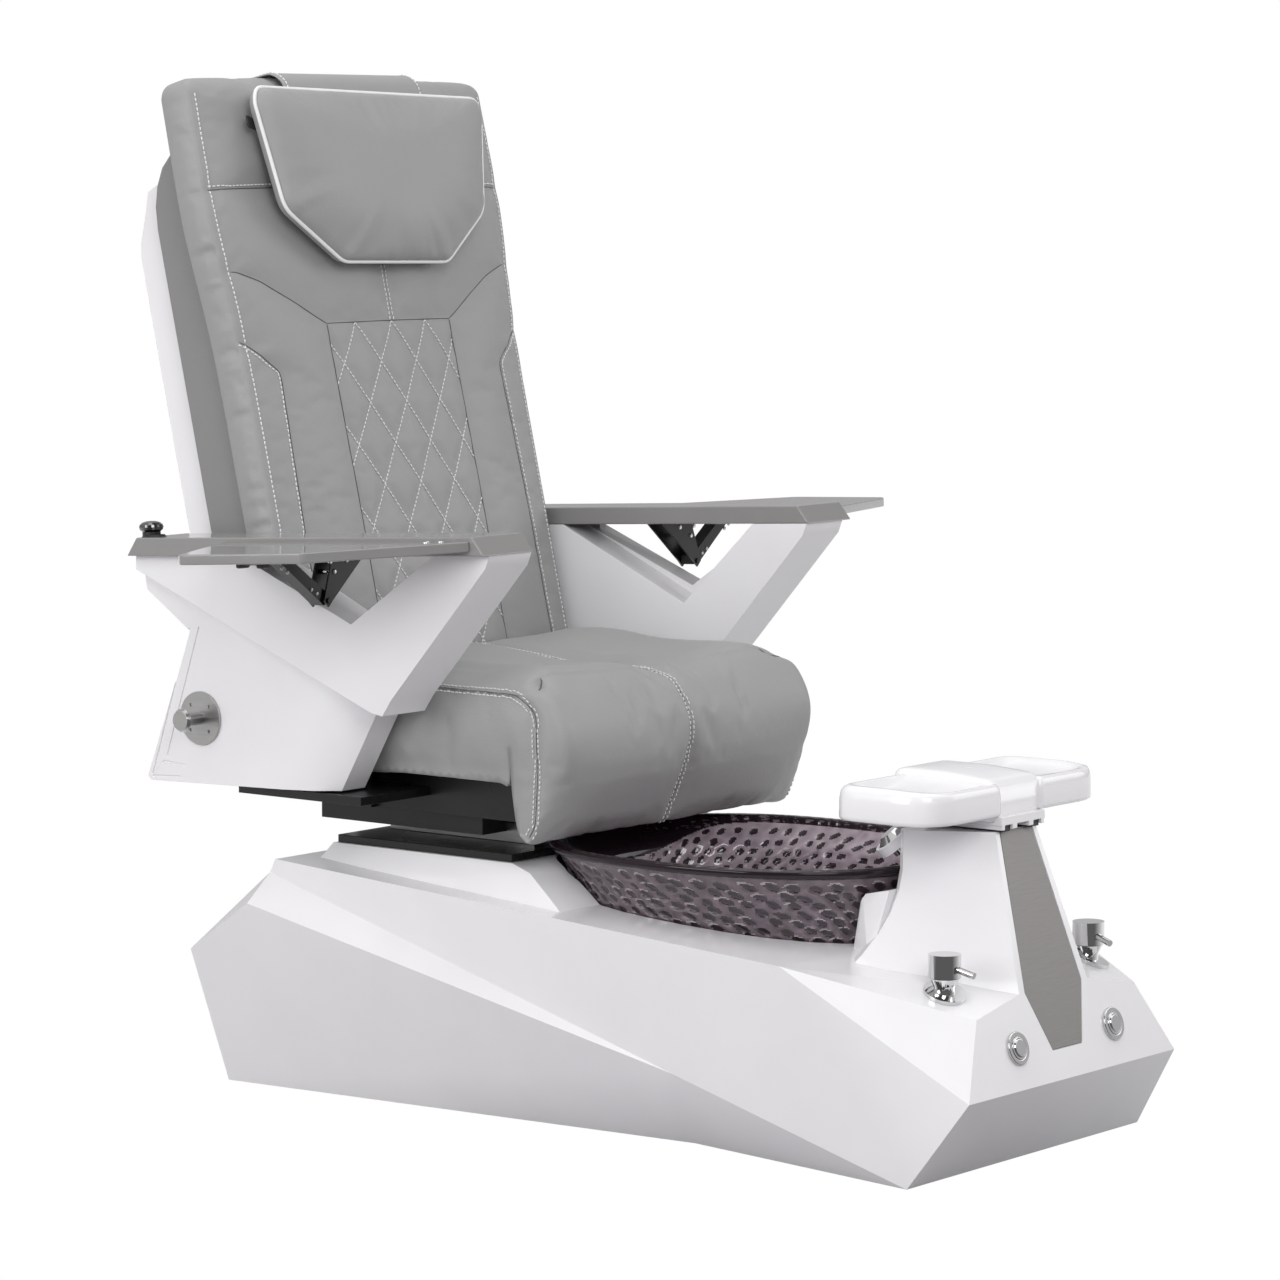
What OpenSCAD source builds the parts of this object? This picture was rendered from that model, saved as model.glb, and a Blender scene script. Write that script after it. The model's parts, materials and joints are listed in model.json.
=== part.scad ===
// Pedicure spa chair: massage recliner on a moulded foot-spa base with a glass bowl.
// Frame: +Z up, the sitter faces -Y, X = 0 is the mirror plane, Z = 0 is the floor.
// "right" and "left" are the sitter's, so right is -X.

/* [Base] */
// Half width of the floor line at the front
floor_front_half = 277; // [250:1:300]
// Y of the floor line at the front
floor_front_y = -650; // [-660:1:-640]
// Half width of the nose edge
nose_half = 248; // [235:1:260]
// Y of the nose edge
nose_y = -727; // [-735:1:-720]
// Height of the nose edge
nose_z = 116; // [100:1:130]
// Half width of the front ledge corners
ledge_half = 189; // [180:1:200]
// Height of the front ledge corners
ledge_z = 215; // [205:1:225]
// Half width of the shoulders beside the tower
shoulder_half = 310; // [300:1:320]
// Y of the shoulders
shoulder_y = -467; // [-475:1:-455]
// Half width of the flank point on each side
flank_half = 298; // [285:1:310]
// Y of the flank point
flank_y = -278; // [-290:1:-270]
// Height of the flank point
flank_z = 112; // [100:1:125]
// Half width of the floor line at its waist
waist_half = 215; // [205:1:230]
// Half width of the floor line at the rear
floor_rear_half = 279; // [265:1:290]
// Y of the rear wall
rear_y = 548; // [540:1:560]
// Half width of the rear belt
belt_half = 354; // [345:1:360]
// Height of the rear belt
belt_z = 202; // [190:1:215]
// Half width of the rear bulge
bulge_half = 381; // [375:1:388]
// Half width of the deck at the rear
deck_rear_half = 340; // [332:1:348]
// Y of the deck's rear edge
deck_rear_y = 397; // [390:1:404]
// Height of the deck at its rear edge
deck_rear_z = 344; // [340:1:350]
// Height of the deck at the shoulders
deck_front_z = 278; // [270:1:284]
// Wall of the moulded base
base_wall = 6; // [4:0.5:8]
// Height of the flat plinth that carries the seat
plinth_z = 362; // [356:1:368]

/* [Tower] */
// Height of the tower's top face
tower_z = 440; // [430:1:450]
// Half width of the tower's front face at the top
tower_front_half = 48; // [42:1:54]
// Half width of the tower's front face at the ledge
tower_foot_half = 82; // [76:1:90]
// Half width of the tower's rear face
tower_rear_half = 110; // [100:1:120]
// Y of the tower's rear face
tower_rear_y = -510; // [-514:1:-508]
// Lean of the front plane, in mm back per mm of height
front_slope = 0.3; // [0.28:0.01:0.32]
// Half width of the accent panel at its widest
accent_half = 68; // [60:1:74]
// Thickness of the accent panel
accent_t = 3; // [2:0.5:4]

/* [Bowl] */
// How far the bowl's lip reaches over the box's side
bowl_over = 18; // [8:1:24]
// Height of the bowl's lip
bowl_lip_z = 385; // [380:1:388]
// Height of the bowl's underside
bowl_foot_z = 200; // [190:1:210]
// Glass thickness
glass_t = 9; // [7:0.5:12]
// Radius of the drain hole
drain_r = 22; // [19:0.5:25]

/* [Water] */
// Distance of each mixer from the middle
mixer_x = 172; // [160:1:180]
// Y of the mixers
mixer_y = -635; // [-640:1:-625]
// Radius of the mixer cap
mixer_cap_r = 21.8; // [19:0.2:24]
// Height of the mixer cap
mixer_cap_h = 31; // [28:1:36]
// Radius of the supply tails under the mixers
tail_r = 10.4; // [7:0.1:13]
// Distance of each push button from the middle
button_x = 115; // [108:1:122]
// Radius of the button bezel
bezel_r = 22.5; // [20:0.5:25]
// Travel of the push button
button_travel = 4; // [2:0.5:5]
// Radius of the drain pipe
drain_pipe_r = 20; // [16:0.5:25]

/* [Footrest] */
// Width of the footrest
footrest_w = 416; // [400:2:430]
// Length of the footrest
footrest_l = 164; // [156:1:172]
// Height of a foot pad
footrest_h = 46; // [40:1:52]
// Forward travel of the footrest
footrest_travel = 50; // [30:1:60]

/* [Seat] */
// Width of the seat cushion
seat_w = 590; // [580:2:604]
// Height of the seat surface at the rear
seat_top_z = 628; // [620:1:640]
// Height of the seat cushion's side edge
seat_side_z = 478; // [474:1:484]
// Height of the front apron's lower edge
apron_z = 399; // [396:1:404]
// Y of the seat's front seam at the sides
apron_side_y = -44; // [-50:1:-38]
// Forward bulge of the apron in the middle
apron_bulge = 42; // [34:1:50]
// Half width of the black seat box
box_half = 232; // [225:1:238]
// Y of the seat box's front face
box_front_y = 8; // [5:1:15]
// Y of the seat box's rear face
box_rear_y = 422; // [415:1:428]
// Height of the seat box's lower face
box_z = 415; // [410:1:420]
// Wall of the seat box
box_wall = 4; // [3:0.5:6]

/* [Back] */
// Height of the recline pivot
pivot_z = 500; // [495:1:505]
// Y of the recline pivot
pivot_y = 330; // [325:1:335]
// Radius of the recline pins
pin_r = 8; // [6:0.5:10]
// Lean of the back at rest
back_lean = 13.1; // [12:0.1:14]
// Recline travel in degrees
recline_max = 30; // [20:1:35]
// Length from the pivot to the top of the back cushion
back_top_u = 977; // [960:1:990]
// Gap between the back cushion and each arm
back_gap = 10; // [7:1:17]
// How far the back cushion widens at the shoulders, on each side
back_flare = 19; // [12:1:25]
// Depth from the pivot line to the cushion's rear face
cushion_rear_v = 84.7; // [80:0.1:90]
// How far the grey side bolster stands in from the cushion's side
bolster_in = 19; // [13:1:25]
// Depth from the pivot line to the bolster's rear edge
bolster_v = 170; // [164:1:176]
// Depth from the pivot line to the white shell's rear face
shell_v = 240; // [234:1:241]
// How far the white shell stands in from the bolster's side
shell_in = 22; // [16:1:28]
// Wall of the white shell
shell_t = 4; // [3:0.5:5]
// Travel of the massage carriage
massage_travel = 450; // [300:10:460]

/* [Arms] */
// Gap between the seat cushion and each arm
arm_gap = 18; // [16:1:22]
// Width of the arm board
board_w = 105; // [98:1:112]
// Thickness of the arm panel over the raised V
panel_t = 89; // [83:1:92]
// Step between the raised V and the lower plate
panel_step = 14; // [8:1:18]
// Height of the arm board's top at its rear end
board_z = 794; // [788:1:800]
// Thickness of the arm board
board_t = 26; // [22:1:30]
// Rise of the arm board towards the front, in degrees
board_tilt = 2.9; // [2:0.02:3.2]
// Reach of the tray beyond the arm board
tray_reach = 272; // [240:1:282]
// Thickness of the tray
tray_t = 14; // [10:1:16]

/* [Fits] */
// Gap between pieces on different bodies
gap = 0.3; // [0.2:0.05:0.6]
// Radial clearance of a running fit
fit = 0.05; // [0.02:0.01:0.1]

/* [Hidden] */
$fn = 48;
sides = [-1, 1];
front_lean = atan(front_slope);
front_len = 1 / cos(front_lean);
deck_slope = (deck_rear_z - deck_front_z) / (deck_rear_y - shoulder_y);
ledge_y = nose_y + front_slope * (ledge_z - nose_z);
foot_z = ledge_z + 18.5;
foot_y = nose_y + front_slope * (foot_z - nose_z);
waist_y = -256;
belt_y = rear_y + 2;
bulge_y = 414;
bulge_z = 284;
step_y = deck_rear_y + 12;
step_z = deck_rear_z - 20;
split_y = -270;
split_half = shoulder_half + (deck_rear_half - shoulder_half) * (split_y - shoulder_y) / (deck_rear_y - shoulder_y);
split_z = deck_z(split_y);
plinth_front_y = -95;
plinth_half = 258;
frame_z = 52;
frame_x = 150;
frame_bar = 40;
foot_h = 8;
post_ys = [110, 300];
post_top = plinth_z - base_wall - gap;
bowl_rear_y = 100;
bowl_front_y = tower_rear_y + 8;
bowl_mid_y = -170;
rim_gap = 3;
button_s = 55;
mixer_z = ledge_plane(mixer_x, mixer_y);
mixer_neck_h = 22;
tail_lean = 9;
spindle_r = 6;
rail_z = tower_z;
rail_h = 9;
pad_z = tower_z + 21;
pad_y = -557;
plate_z = plinth_z;
plate_t = 11;
bowl_half = box_half + bowl_over;
plate_half = bowl_half + 2;
plate_front_y = 35;
arm_in = seat_w / 2 + arm_gap;
arm_out = arm_in + board_w;
panel_out = arm_in + panel_t;
tray_out = arm_out + tray_reach;
back_low_half = arm_in - back_gap;
back_half = back_low_half + back_flare;
bolster_half = back_low_half - bolster_in;
shell_half = bolster_half - shell_in;
under_e = (box_half + 1) / (seat_w / 2);
slide_rail_x = 150;
housing_z = bowl_lip_z + 3.3;
slide_rail_h = housing_z + 13 - gap - plate_z - plate_t;
housing_front_y = 120;
housing_half = box_half - 18;
lever_r = 65;
lever_z = pivot_z - lever_r;
actuator_y = 60;
cushion_t = cushion_rear_v;
tube = 25;
frame_half = bolster_half - 29;
rail_u0 = 150;
rail_u1 = 838;
screw_r = 8;
screw_v = 150;
carriage_u = 260;
pan_z = seat_side_z + gap;
board_y = 600;
board_len = 656;
tray_pin_x = arm_out - 4;
tray_pin_y = -355;
tray_pin_z = -87;
tray_drop = 6;
hook_y = 492;
hook_z = 542;
knob_x = 394;
knob_y = -20;

// ---------- helpers ----------

function deck_z(y) = deck_rear_z - deck_slope * (deck_rear_y - y);

// height of the sloping ledge in front of the bowl, on which the mixers stand
function ledge_plane(x, y) = let (
    a = [tower_foot_half, foot_y, foot_z],
    b = [ledge_half, ledge_y, ledge_z],
    c = [shoulder_half, shoulder_y, deck_front_z],
    n = cross(b - a, c - a))
    a[2] - (n[0] * (abs(x) - a[0]) + n[1] * (y - a[1])) / n[2];

function ledge_normal() = let (
    a = [tower_foot_half, foot_y, foot_z],
    b = [ledge_half, ledge_y, ledge_z],
    c = [shoulder_half, shoulder_y, deck_front_z],
    n = cross(b - a, c - a))
    n / norm(n) * sign(n[2]);

function both(p) = concat(p, [for (q = p) [-q[0], q[1], q[2]]]);

module hull_of(p) {
    hull() polyhedron(points = p, faces = [[for (i = [0:len(p) - 1]) i]]);
}

// closed skin over rings of equal point count, from the first ring to the last
module loft(rings) {
    n = len(rings[0]);
    m = len(rings);
    pts = [for (r = rings) for (p = r) p];
    polyhedron(
        points = pts,
        faces = concat(
            [[for (i = [0:n - 1]) i]],
            [for (k = [0:m - 2]) for (i = [0:n - 1])
                let (j = (i + 1) % n) for (t = [0, 1])
                    t == 0 ? [k * n + i, (k + 1) * n + j, k * n + j]
                           : [k * n + i, (k + 1) * n + i, (k + 1) * n + j]],
            [[for (i = [n - 1:-1:0]) (m - 1) * n + i]]));
}

// prism of a Y-Z outline between two X planes
module yz_prism(outline, x0, x1) {
    translate([x0, 0, 0])
        rotate([90, 0, 90])
            linear_extrude(x1 - x0) polygon(outline);
}

// places a child on the leaning front plane, with its outward normal along -Y
module on_front() {
    translate([0, nose_y, nose_z]) rotate([-front_lean, 0, 0]) children();
}

// places a child in the back's own frame: Y is depth, Z is length up the back
module on_back() {
    translate([0, pivot_y, pivot_z]) rotate([-back_lean, 0, 0]) children();
}

// places a child on the rising plane of the arm board's top
module on_board() {
    translate([0, board_y, board_z]) rotate([-board_tilt, 0, 0]) children();
}

module on_ledge(s) {
    translate([s * mixer_x, mixer_y, mixer_z]) children();
}

module ring_tube(r_out, r_in, h) {
    difference() {
        cylinder(r = r_out, h = h);
        translate([0, 0, -1]) cylinder(r = r_in, h = h + 2);
    }
}

// ---------- base ----------

function base_rear_points() = both([
    [waist_half, waist_y, 0], [floor_rear_half, rear_y, 0], [belt_half, belt_y, belt_z],
    [bulge_half, bulge_y, bulge_z], [deck_rear_half - 2, step_y, step_z],
    [flank_half, flank_y, flank_z]]);

function base_deck_points() = both([
    [waist_half, waist_y, 0], [waist_half, rear_y - 60, 0], [deck_rear_half - 2, step_y, step_z],
    [deck_rear_half, deck_rear_y, deck_rear_z], [split_half, split_y, split_z],
    [flank_half, flank_y, flank_z]]);

function base_front_points() = both([
    [waist_half, waist_y, 0], [floor_front_half, floor_front_y, 0], [nose_half, nose_y, nose_z],
    [ledge_half, ledge_y, ledge_z], [tower_foot_half, foot_y, foot_z],
    [shoulder_half, shoulder_y, deck_front_z], [split_half, split_y, split_z],
    [flank_half, flank_y, flank_z]]);

// the same points drawn in by the wall, and run below the floor
function drawn_in(points, w) = [for (p = points) [
    p[0] * (1 - 1.1 * w / waist_half),
    p[1] + (p[1] > 0 ? -1.2 : p[1] < -400 ? 1.3 : 0) * w,
    p[2] == 0 ? -1 : p[2] - 1.15 * w]];

// seat plinth, with a rounded ramp down to the deck beside the bowl
function plinth_points(w) = both([
    [plinth_half + 30 - w, plinth_front_y + w, deck_z(plinth_front_y) - 12],
    [plinth_half + 22 - w, plate_front_y - 92 + w, deck_z(plate_front_y - 92) + 13 - w],
    [plinth_half + 9 - w, plate_front_y - 44 + w, plinth_z - 9 - w],
    [plinth_half - w, plate_front_y - 6 + w, plinth_z - w],
    [plinth_half + 30 - w, deck_rear_y - 25 - w, deck_z(deck_rear_y - 25) - 12],
    [plinth_half - w, deck_rear_y - 37 - w, plinth_z - w]]);

function flare(z) = let (t = max(0, (400 - z) / 140)) 95 * pow(t, 2.2);

function tower_ring(z, w) = let (
    f = nose_y + front_slope * (z - nose_z) + 1.9 * w,
    hf = tower_front_half + (tower_z - z) * (tower_foot_half - tower_front_half) / (tower_z - foot_z) - w,
    hr = tower_rear_half + flare(z) - w,
    r = tower_rear_y + 24 * pow(max(0, (400 - z) / 140), 2) - w)
    [[-hf, f, z], [hf, f, z], [(hf + hr) / 2 + flare(z) * -0.12, (f * 0.55 + r * 0.45), z],
     [hr, r - 14, z], [hr - 14, r, z], [14 - hr, r, z], [-hr, r - 14, z],
     [-(hf + hr) / 2 + flare(z) * 0.12, (f * 0.55 + r * 0.45), z]];

module tower(w, z0) {
    loft([for (i = [0:8]) tower_ring(z0 + (tower_z - w - z0) * i / 8, w)]);
}

module base_solid(w) {
    hull_of(w == 0 ? base_rear_points() : drawn_in(base_rear_points(), w));
    hull_of(w == 0 ? base_deck_points() : drawn_in(base_deck_points(), w));
    hull_of(w == 0 ? base_front_points() : drawn_in(base_front_points(), w));
    hull_of(plinth_points(w));
    tower(w, w == 0 ? 226 : 216);
    if (w == 0)
        hull_of(both([
            [tower_rear_half + 14, tower_rear_y - 2, 360], [tower_rear_half + 7, tower_rear_y + 48, 349],
            [tower_rear_half + 21, tower_rear_y + 53, 268], [tower_rear_half + 60, tower_rear_y - 2, 268]]));
}

// plan outline of the bowl: a rounded teardrop, widest ahead of the seat
function bowl_ring(z, half, rear, front, n = 32) = [for (i = [0:n - 1]) let (
    a = 360 * i / n,
    c = cos(a),
    s = sin(a),
    e = s > 0 ? 2.2 : 2.5,
    r = pow(pow(abs(c), e) + pow(abs(s), e), -1 / e))
    [half * r * c, bowl_mid_y + (s > 0 ? rear - bowl_mid_y : bowl_mid_y - front) * r * s, z]];

module bowl_void(g) {
    lip = bowl_lip_z;
    loft([
        bowl_ring(bowl_foot_z - 8, bowl_half - 78 + g, -8 + g, -455 - g),
        bowl_ring(290, bowl_half - 46 + g, 41 + g, -474 - g),
        bowl_ring(lip - 50, bowl_half - 28 + g, 64 + g, -485 - g),
        bowl_ring(lip - 38, bowl_half - 17 + g, 79 + g, bowl_front_y + 11 - g),
        bowl_ring(lip - 12, bowl_half - 6 + g, bowl_rear_y - 8 + g, bowl_front_y + 4 - g),
        bowl_ring(lip + 30, bowl_half + g, bowl_rear_y + g, bowl_front_y - g)]);
}

module base_shell() {
    color("white")
        difference() {
            base_solid(0);
            base_solid(base_wall);
            bowl_void(rim_gap);
            on_front() accent_blank(accent_t, 0.6);
            for (s = sides) {
                on_front() translate([s * button_x, -20, button_s])
                    rotate([-90, 0, 0]) cylinder(r = bezel_r - 4, h = 60);
                on_ledge(s) translate([0, 0, -50]) cylinder(r = 14.5, h = 80);
            }
            translate([-60, tower_rear_y - 30, spray_z()]) rotate([-90, 0, 0]) cylinder(r = 9, h = 60);
        }
}

module accent_blank(t, grow) {
    top = (tower_z - nose_z) * front_len;
    translate([0, t, 0])
        rotate([90, 0, 0])
            linear_extrude(t + (grow > 0 ? 5 : -gap))
                polygon([
                    [-35 - grow, 41 - grow], [35 + grow, 41 - grow],
                    [accent_half + grow, 123], [37 + grow, top + grow * 20],
                    [-37 - grow, top + grow * 20], [-accent_half - grow, 123]]);
}

module accent_panel() {
    color([0.56, 0.53, 0.52]) on_front() accent_blank(accent_t, 0);
}

module floor_frame() {
    z0 = frame_z - frame_bar;
    color("dimgray")
        difference() {
            union() {
                for (s = sides)
                    translate([s * frame_x - frame_bar / 2, floor_front_y + 90, z0])
                        cube([frame_bar, rear_y - floor_front_y - 150, frame_bar]);
                for (y = [floor_front_y + 90, -40, rear_y - 100])
                    translate([-frame_x, y, z0]) cube([2 * frame_x, frame_bar, frame_bar]);
                for (s = sides)
                    for (y = post_ys)
                        translate([s * frame_x - frame_bar / 2, y - frame_bar / 2, z0])
                            cube([frame_bar, frame_bar, post_top - z0]);
            }
            for (p = foot_places())
                translate([p[0], p[1], z0 - 1]) cylinder(r = 6, h = 25);
        }
}

function foot_places() = [for (s = sides) for (y = [floor_front_y + 110, rear_y - 80]) [s * frame_x, y]];

module levelling_feet() {
    color("black")
        for (p = foot_places())
            translate([p[0], p[1], 0]) {
                cylinder(r = 22, h = foot_h);
                cylinder(r = 5.9, h = frame_z - frame_bar + 20);
            }
}

// ---------- bowl, drain and jet ----------

module foot_bowl() {
    g = glass_t;
    lip = bowl_lip_z;
    color([0.30, 0.24, 0.28, 0.6])
        difference() {
            loft([
                bowl_ring(bowl_foot_z, bowl_half - 100, -30, -435),
                bowl_ring(bowl_foot_z + 25, bowl_half - 72, -2, -460),
                bowl_ring(290, bowl_half - 47, 40, -473),
                bowl_ring(lip - 48, bowl_half - 30, 62, -484),
                bowl_ring(lip - 36, bowl_half - 18, 78, bowl_front_y + 12),
                bowl_ring(lip - 10, bowl_half - 6, bowl_rear_y - 8, bowl_front_y + 4),
                bowl_ring(lip - 3, bowl_half, bowl_rear_y, bowl_front_y),
                bowl_ring(lip, bowl_half - 8, bowl_rear_y - 10, bowl_front_y + 9),
                bowl_ring(lip - 12, bowl_half - 6 - 1.6 * g, bowl_rear_y - 8 - 2 * g, bowl_front_y + 4 + 1.6 * g),
                bowl_ring(lip - 34 + g, bowl_half - 18 - 1.6 * g, 78 - 2 * g, bowl_front_y + 12 + 1.4 * g),
                bowl_ring(lip - 48 + g / 2, bowl_half - 30 - 1.9 * g, 62 - 2 * g, -484 + 1.6 * g),
                bowl_ring(290, bowl_half - 47 - g, 40 - g, -473 + g),
                bowl_ring(bowl_foot_z + 27 + g, bowl_half - 72 - g, -2 - g, -460 + g),
                bowl_ring(bowl_foot_z + g, bowl_half - 100 - g, -30 - g, -435 + g)]);
            translate([0, bowl_mid_y, bowl_foot_z - 5]) cylinder(r = drain_r, h = 40);
            translate([0, jet_y(), bowl_foot_z - 5]) cylinder(r = 20, h = 40);
        }
}

function jet_y() = bowl_mid_y - 190;

module bowl_cradle() {
    z = bowl_foot_z - gap;
    color("darkgray")
        difference() {
            union() {
                translate([-frame_x - 20, bowl_mid_y - 215, z - 12]) cube([2 * frame_x + 40, 340, 12]);
                for (s = sides)
                    for (y = [bowl_mid_y - 200, bowl_mid_y + 90])
                        translate([s * frame_x - 15, y, frame_z]) cube([30, 30, z - 12 - frame_z]);
            }
            translate([0, bowl_mid_y, z - 20]) cylinder(r = drain_r + 14, h = 40);
            translate([0, jet_y(), z - 20]) cylinder(r = 46, h = 40);
        }
}

// strainer cup that clamps the bowl's drain hole
module drain_strainer() {
    z = bowl_foot_z + glass_t + gap;
    color("silver")
        difference() {
            union() {
                translate([0, bowl_mid_y, z]) cylinder(r = drain_r + 8, h = 2.5);
                translate([0, bowl_mid_y, bowl_foot_z - 20]) cylinder(r = drain_r - 0.4, h = glass_t + 21);
            }
            for (a = [0:60:300])
                translate([0, bowl_mid_y, 0]) rotate([0, 0, a]) translate([13, 0, bowl_foot_z - 30])
                    cylinder(r = 3.5, h = 60);
            translate([0, bowl_mid_y, bowl_foot_z - 30]) cylinder(r = 4 + fit, h = 60);
        }
}

// rises on its stem to let the water out
module drain_stopper() {
    z = bowl_foot_z + glass_t + gap + 2.5 + gap;
    color("silver") {
        translate([0, bowl_mid_y, z]) cylinder(r = drain_r - 1, h = 4);
        translate([0, bowl_mid_y, z - 26]) cylinder(r = 4, h = 27);
    }
}

module drain_pipe() {
    z = bowl_foot_z - 20 - gap;
    color("gray")
        translate([0, bowl_mid_y, 18])
            difference() {
                union() {
                    cylinder(r = drain_pipe_r, h = z - 18);
                    translate([0, 0, z - 38]) cylinder(r = drain_pipe_r + 6, h = 20);
                }
                translate([0, 0, -1]) cylinder(r = drain_pipe_r - 3, h = z);
            }
}

module jet_motor() {
    z = bowl_foot_z - gap;
    color("dimgray")
        translate([0, jet_y(), z - 62]) {
            cylinder(r = 38, h = 50);
            translate([0, 0, 50]) cylinder(r = 44, h = 12);
            cylinder(r = 3, h = 62 + glass_t + 9);
        }
}

module jet_impeller() {
    z = bowl_foot_z + glass_t + gap;
    color("white")
        difference() {
            union() {
                translate([0, jet_y(), z + 0.5]) cylinder(r = 8, h = 8);
                for (a = [0:60:300])
                    translate([0, jet_y(), z + 0.5]) rotate([0, 0, a]) translate([6, -1, 0]) cube([17, 2, 8]);
            }
            translate([0, jet_y(), z - 5]) cylinder(r = 3 + fit, h = 30);
        }
}

module jet_cover() {
    z = bowl_foot_z + glass_t + gap;
    color("whitesmoke")
        translate([0, jet_y(), z])
            difference() {
                cylinder(r = 36, h = 14);
                translate([0, 0, -1]) cylinder(r = 26, h = 12);
                for (a = [0:45:315])
                    rotate([0, 0, a]) translate([18, 0, -1]) cylinder(r = 4.5, h = 20);
            }
}

// ---------- mixers and buttons ----------

module mixer_body(s) {
    n = ledge_normal();
    tilt_y = atan(s * n[0] / n[2]);
    tilt_x = -atan(n[1] / n[2]);
    color("silver")
        on_ledge(s) {
            difference() {
                rotate([tilt_x, tilt_y, 0]) translate([0, 0, gap]) cylinder(r = 29, h = 5);
                cylinder(r = 13.9, h = 60, center = true);
            }
            translate([0, 0, -27]) rotate([tail_lean, 0, 0]) {
                translate([0, 0, -24]) cylinder(r = tail_r, h = 27);
                translate([0, 0, -4]) cylinder(r = 13, h = 8);
            }
            translate([0, 0, -26]) cylinder(r = 14, h = 26 + mixer_neck_h - 8);
            translate([0, 0, mixer_neck_h - 12]) cylinder(r1 = 14, r2 = mixer_cap_r - 2, h = 12);
            translate([0, 0, mixer_neck_h - 1]) cylinder(r = spindle_r, h = 1 + mixer_cap_h / 2);
        }
}

module mixer_body_right() mixer_body(-1);
module mixer_body_left() mixer_body(1);

module mixer_handle(s) {
    color("silver")
        on_ledge(s)
            translate([0, 0, mixer_neck_h + 1])
                difference() {
                    union() {
                        cylinder(r = mixer_cap_r, h = mixer_cap_h);
                        translate([0, 0, mixer_cap_h * 0.55]) rotate([0, 0, s > 0 ? -18 : 0]) rotate([103, 0, 0])
                            cylinder(r = 4.5, h = mixer_cap_r + 26);
                    }
                    translate([0, 0, -1]) cylinder(r = spindle_r + fit, h = 1 + mixer_cap_h / 2 + 1);
                }
}

module mixer_handle_right() mixer_handle(-1);
module mixer_handle_left() mixer_handle(1);

module button_bezel(s) {
    color("silver")
        on_front() translate([s * button_x, 0, button_s]) rotate([90, 0, 0])
            difference() {
                union() {
                    translate([0, 0, gap]) cylinder(r = bezel_r, h = 4);
                    translate([0, 0, -34]) cylinder(r = bezel_r - 4.3, h = 34 + gap + 1);
                }
                translate([0, 0, -28]) cylinder(r = bezel_r - 7, h = 50);
            }
}

module button_bezel_right() button_bezel(-1);
module button_bezel_left() button_bezel(1);

module push_button(s) {
    color("silver")
        on_front() translate([s * button_x, 0, button_s]) rotate([90, 0, 0]) {
            translate([0, 0, -16]) cylinder(r = bezel_r - 7.05, h = 21);
            translate([0, 0, 4]) cylinder(r1 = bezel_r - 9, r2 = bezel_r - 11, h = 3);
        }
}

module push_button_right() push_button(-1);
module push_button_left() push_button(1);

function spray_z() = 418;
function spray_axis() = [-0.42, 0.50, 0.757];

module along_spray() {
    a = spray_axis();
    translate([-60, tower_rear_y + 34, spray_z()])
        rotate([0, acos(a[2]), atan2(a[1], a[0])]) children();
}

module spray_holder() {
    color("white")
        difference() {
            union() {
                along_spray() translate([0, 0, -8]) cylinder(r = 29, h = 14);
                translate([-60, tower_rear_y + 0.2, spray_z()]) rotate([-90, 0, 0]) cylinder(r = 12, h = 26);
            }
            along_spray() translate([0, 0, -4]) cylinder(r = 25, h = 40);
            along_spray() translate([0, 0, -20]) cylinder(r = 15, h = 40);
        }
}

module hand_spray() {
    color("silver")
        along_spray() {
            translate([0, 0, -4 + gap]) cylinder(r = 23.5, h = 9);
            translate([0, 0, 5]) cylinder(r1 = 23.5, r2 = 14, h = 9);
            translate([0, 0, -18]) cylinder(r = 14.6, h = 22);
        }
}

// ---------- footrest ----------

module footrest_rails() {
    color([0.12, 0.12, 0.12])
        for (s = sides)
            translate([s * 34 - 9, tower_rear_y - 128, rail_z]) cube([18, 120, rail_h]);
}

module footrest_slider() {
    color([0.12, 0.12, 0.12])
        difference() {
            translate([-52, tower_rear_y - 132, rail_z + 3]) cube([104, 124, pad_z - rail_z - 3]);
            for (s = sides)
                translate([s * 34 - 9 - gap, tower_rear_y - 250, rail_z - 1])
                    cube([18 + 2 * gap, 400, rail_h + 1 + gap]);
            translate([-14, tower_rear_y - 250, rail_z - 1]) cube([28, 400, rail_h + 1 + gap]);
            translate([-70, tower_rear_y - 250, rail_z - 1]) cube([20, 400, rail_h + 1 + gap]);
            translate([50, tower_rear_y - 250, rail_z - 1]) cube([20, 400, rail_h + 1 + gap]);
        }
}

module rounded_slab(x0, x1, y0, y1, z0, z1, r, draw) {
    hull()
        for (x = [x0 + r, x1 - r]) for (y = [y0 + r, y1 - r])
            translate([x, y, z0]) cylinder(r1 = r, r2 = r - draw, h = z1 - z0, $fn = 32);
}

module footrest_pad() {
    w = footrest_w / 2;
    l = footrest_l;
    top = pad_z + footrest_h;
    y0 = pad_y - l / 2;
    y1 = pad_y + l / 2;
    color("white")
        difference() {
            union() {
                rounded_slab(-w, -48, y0, y1, pad_z, top, 52, 14);
                rounded_slab(48, w, y0, y1, pad_z, top, 52, 14);
                rounded_slab(-64, 64, y0 + 8, y1 + 6, pad_z, top + 8, 14, 6);
            }
            for (s = sides)
                translate([s * (w - 66), pad_y - 150, top + 86]) rotate([-90, 0, 0]) cylinder(r = 100, h = 300);
        }
}

// ---------- seat ----------

module slide_plate() {
    color([0.05, 0.05, 0.05])
        difference() {
            translate([-plate_half, plate_front_y, plate_z])
                cube([2 * plate_half, deck_rear_y - 40 - plate_front_y, plate_t]);
            bowl_void(rim_gap);
        }
}

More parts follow.
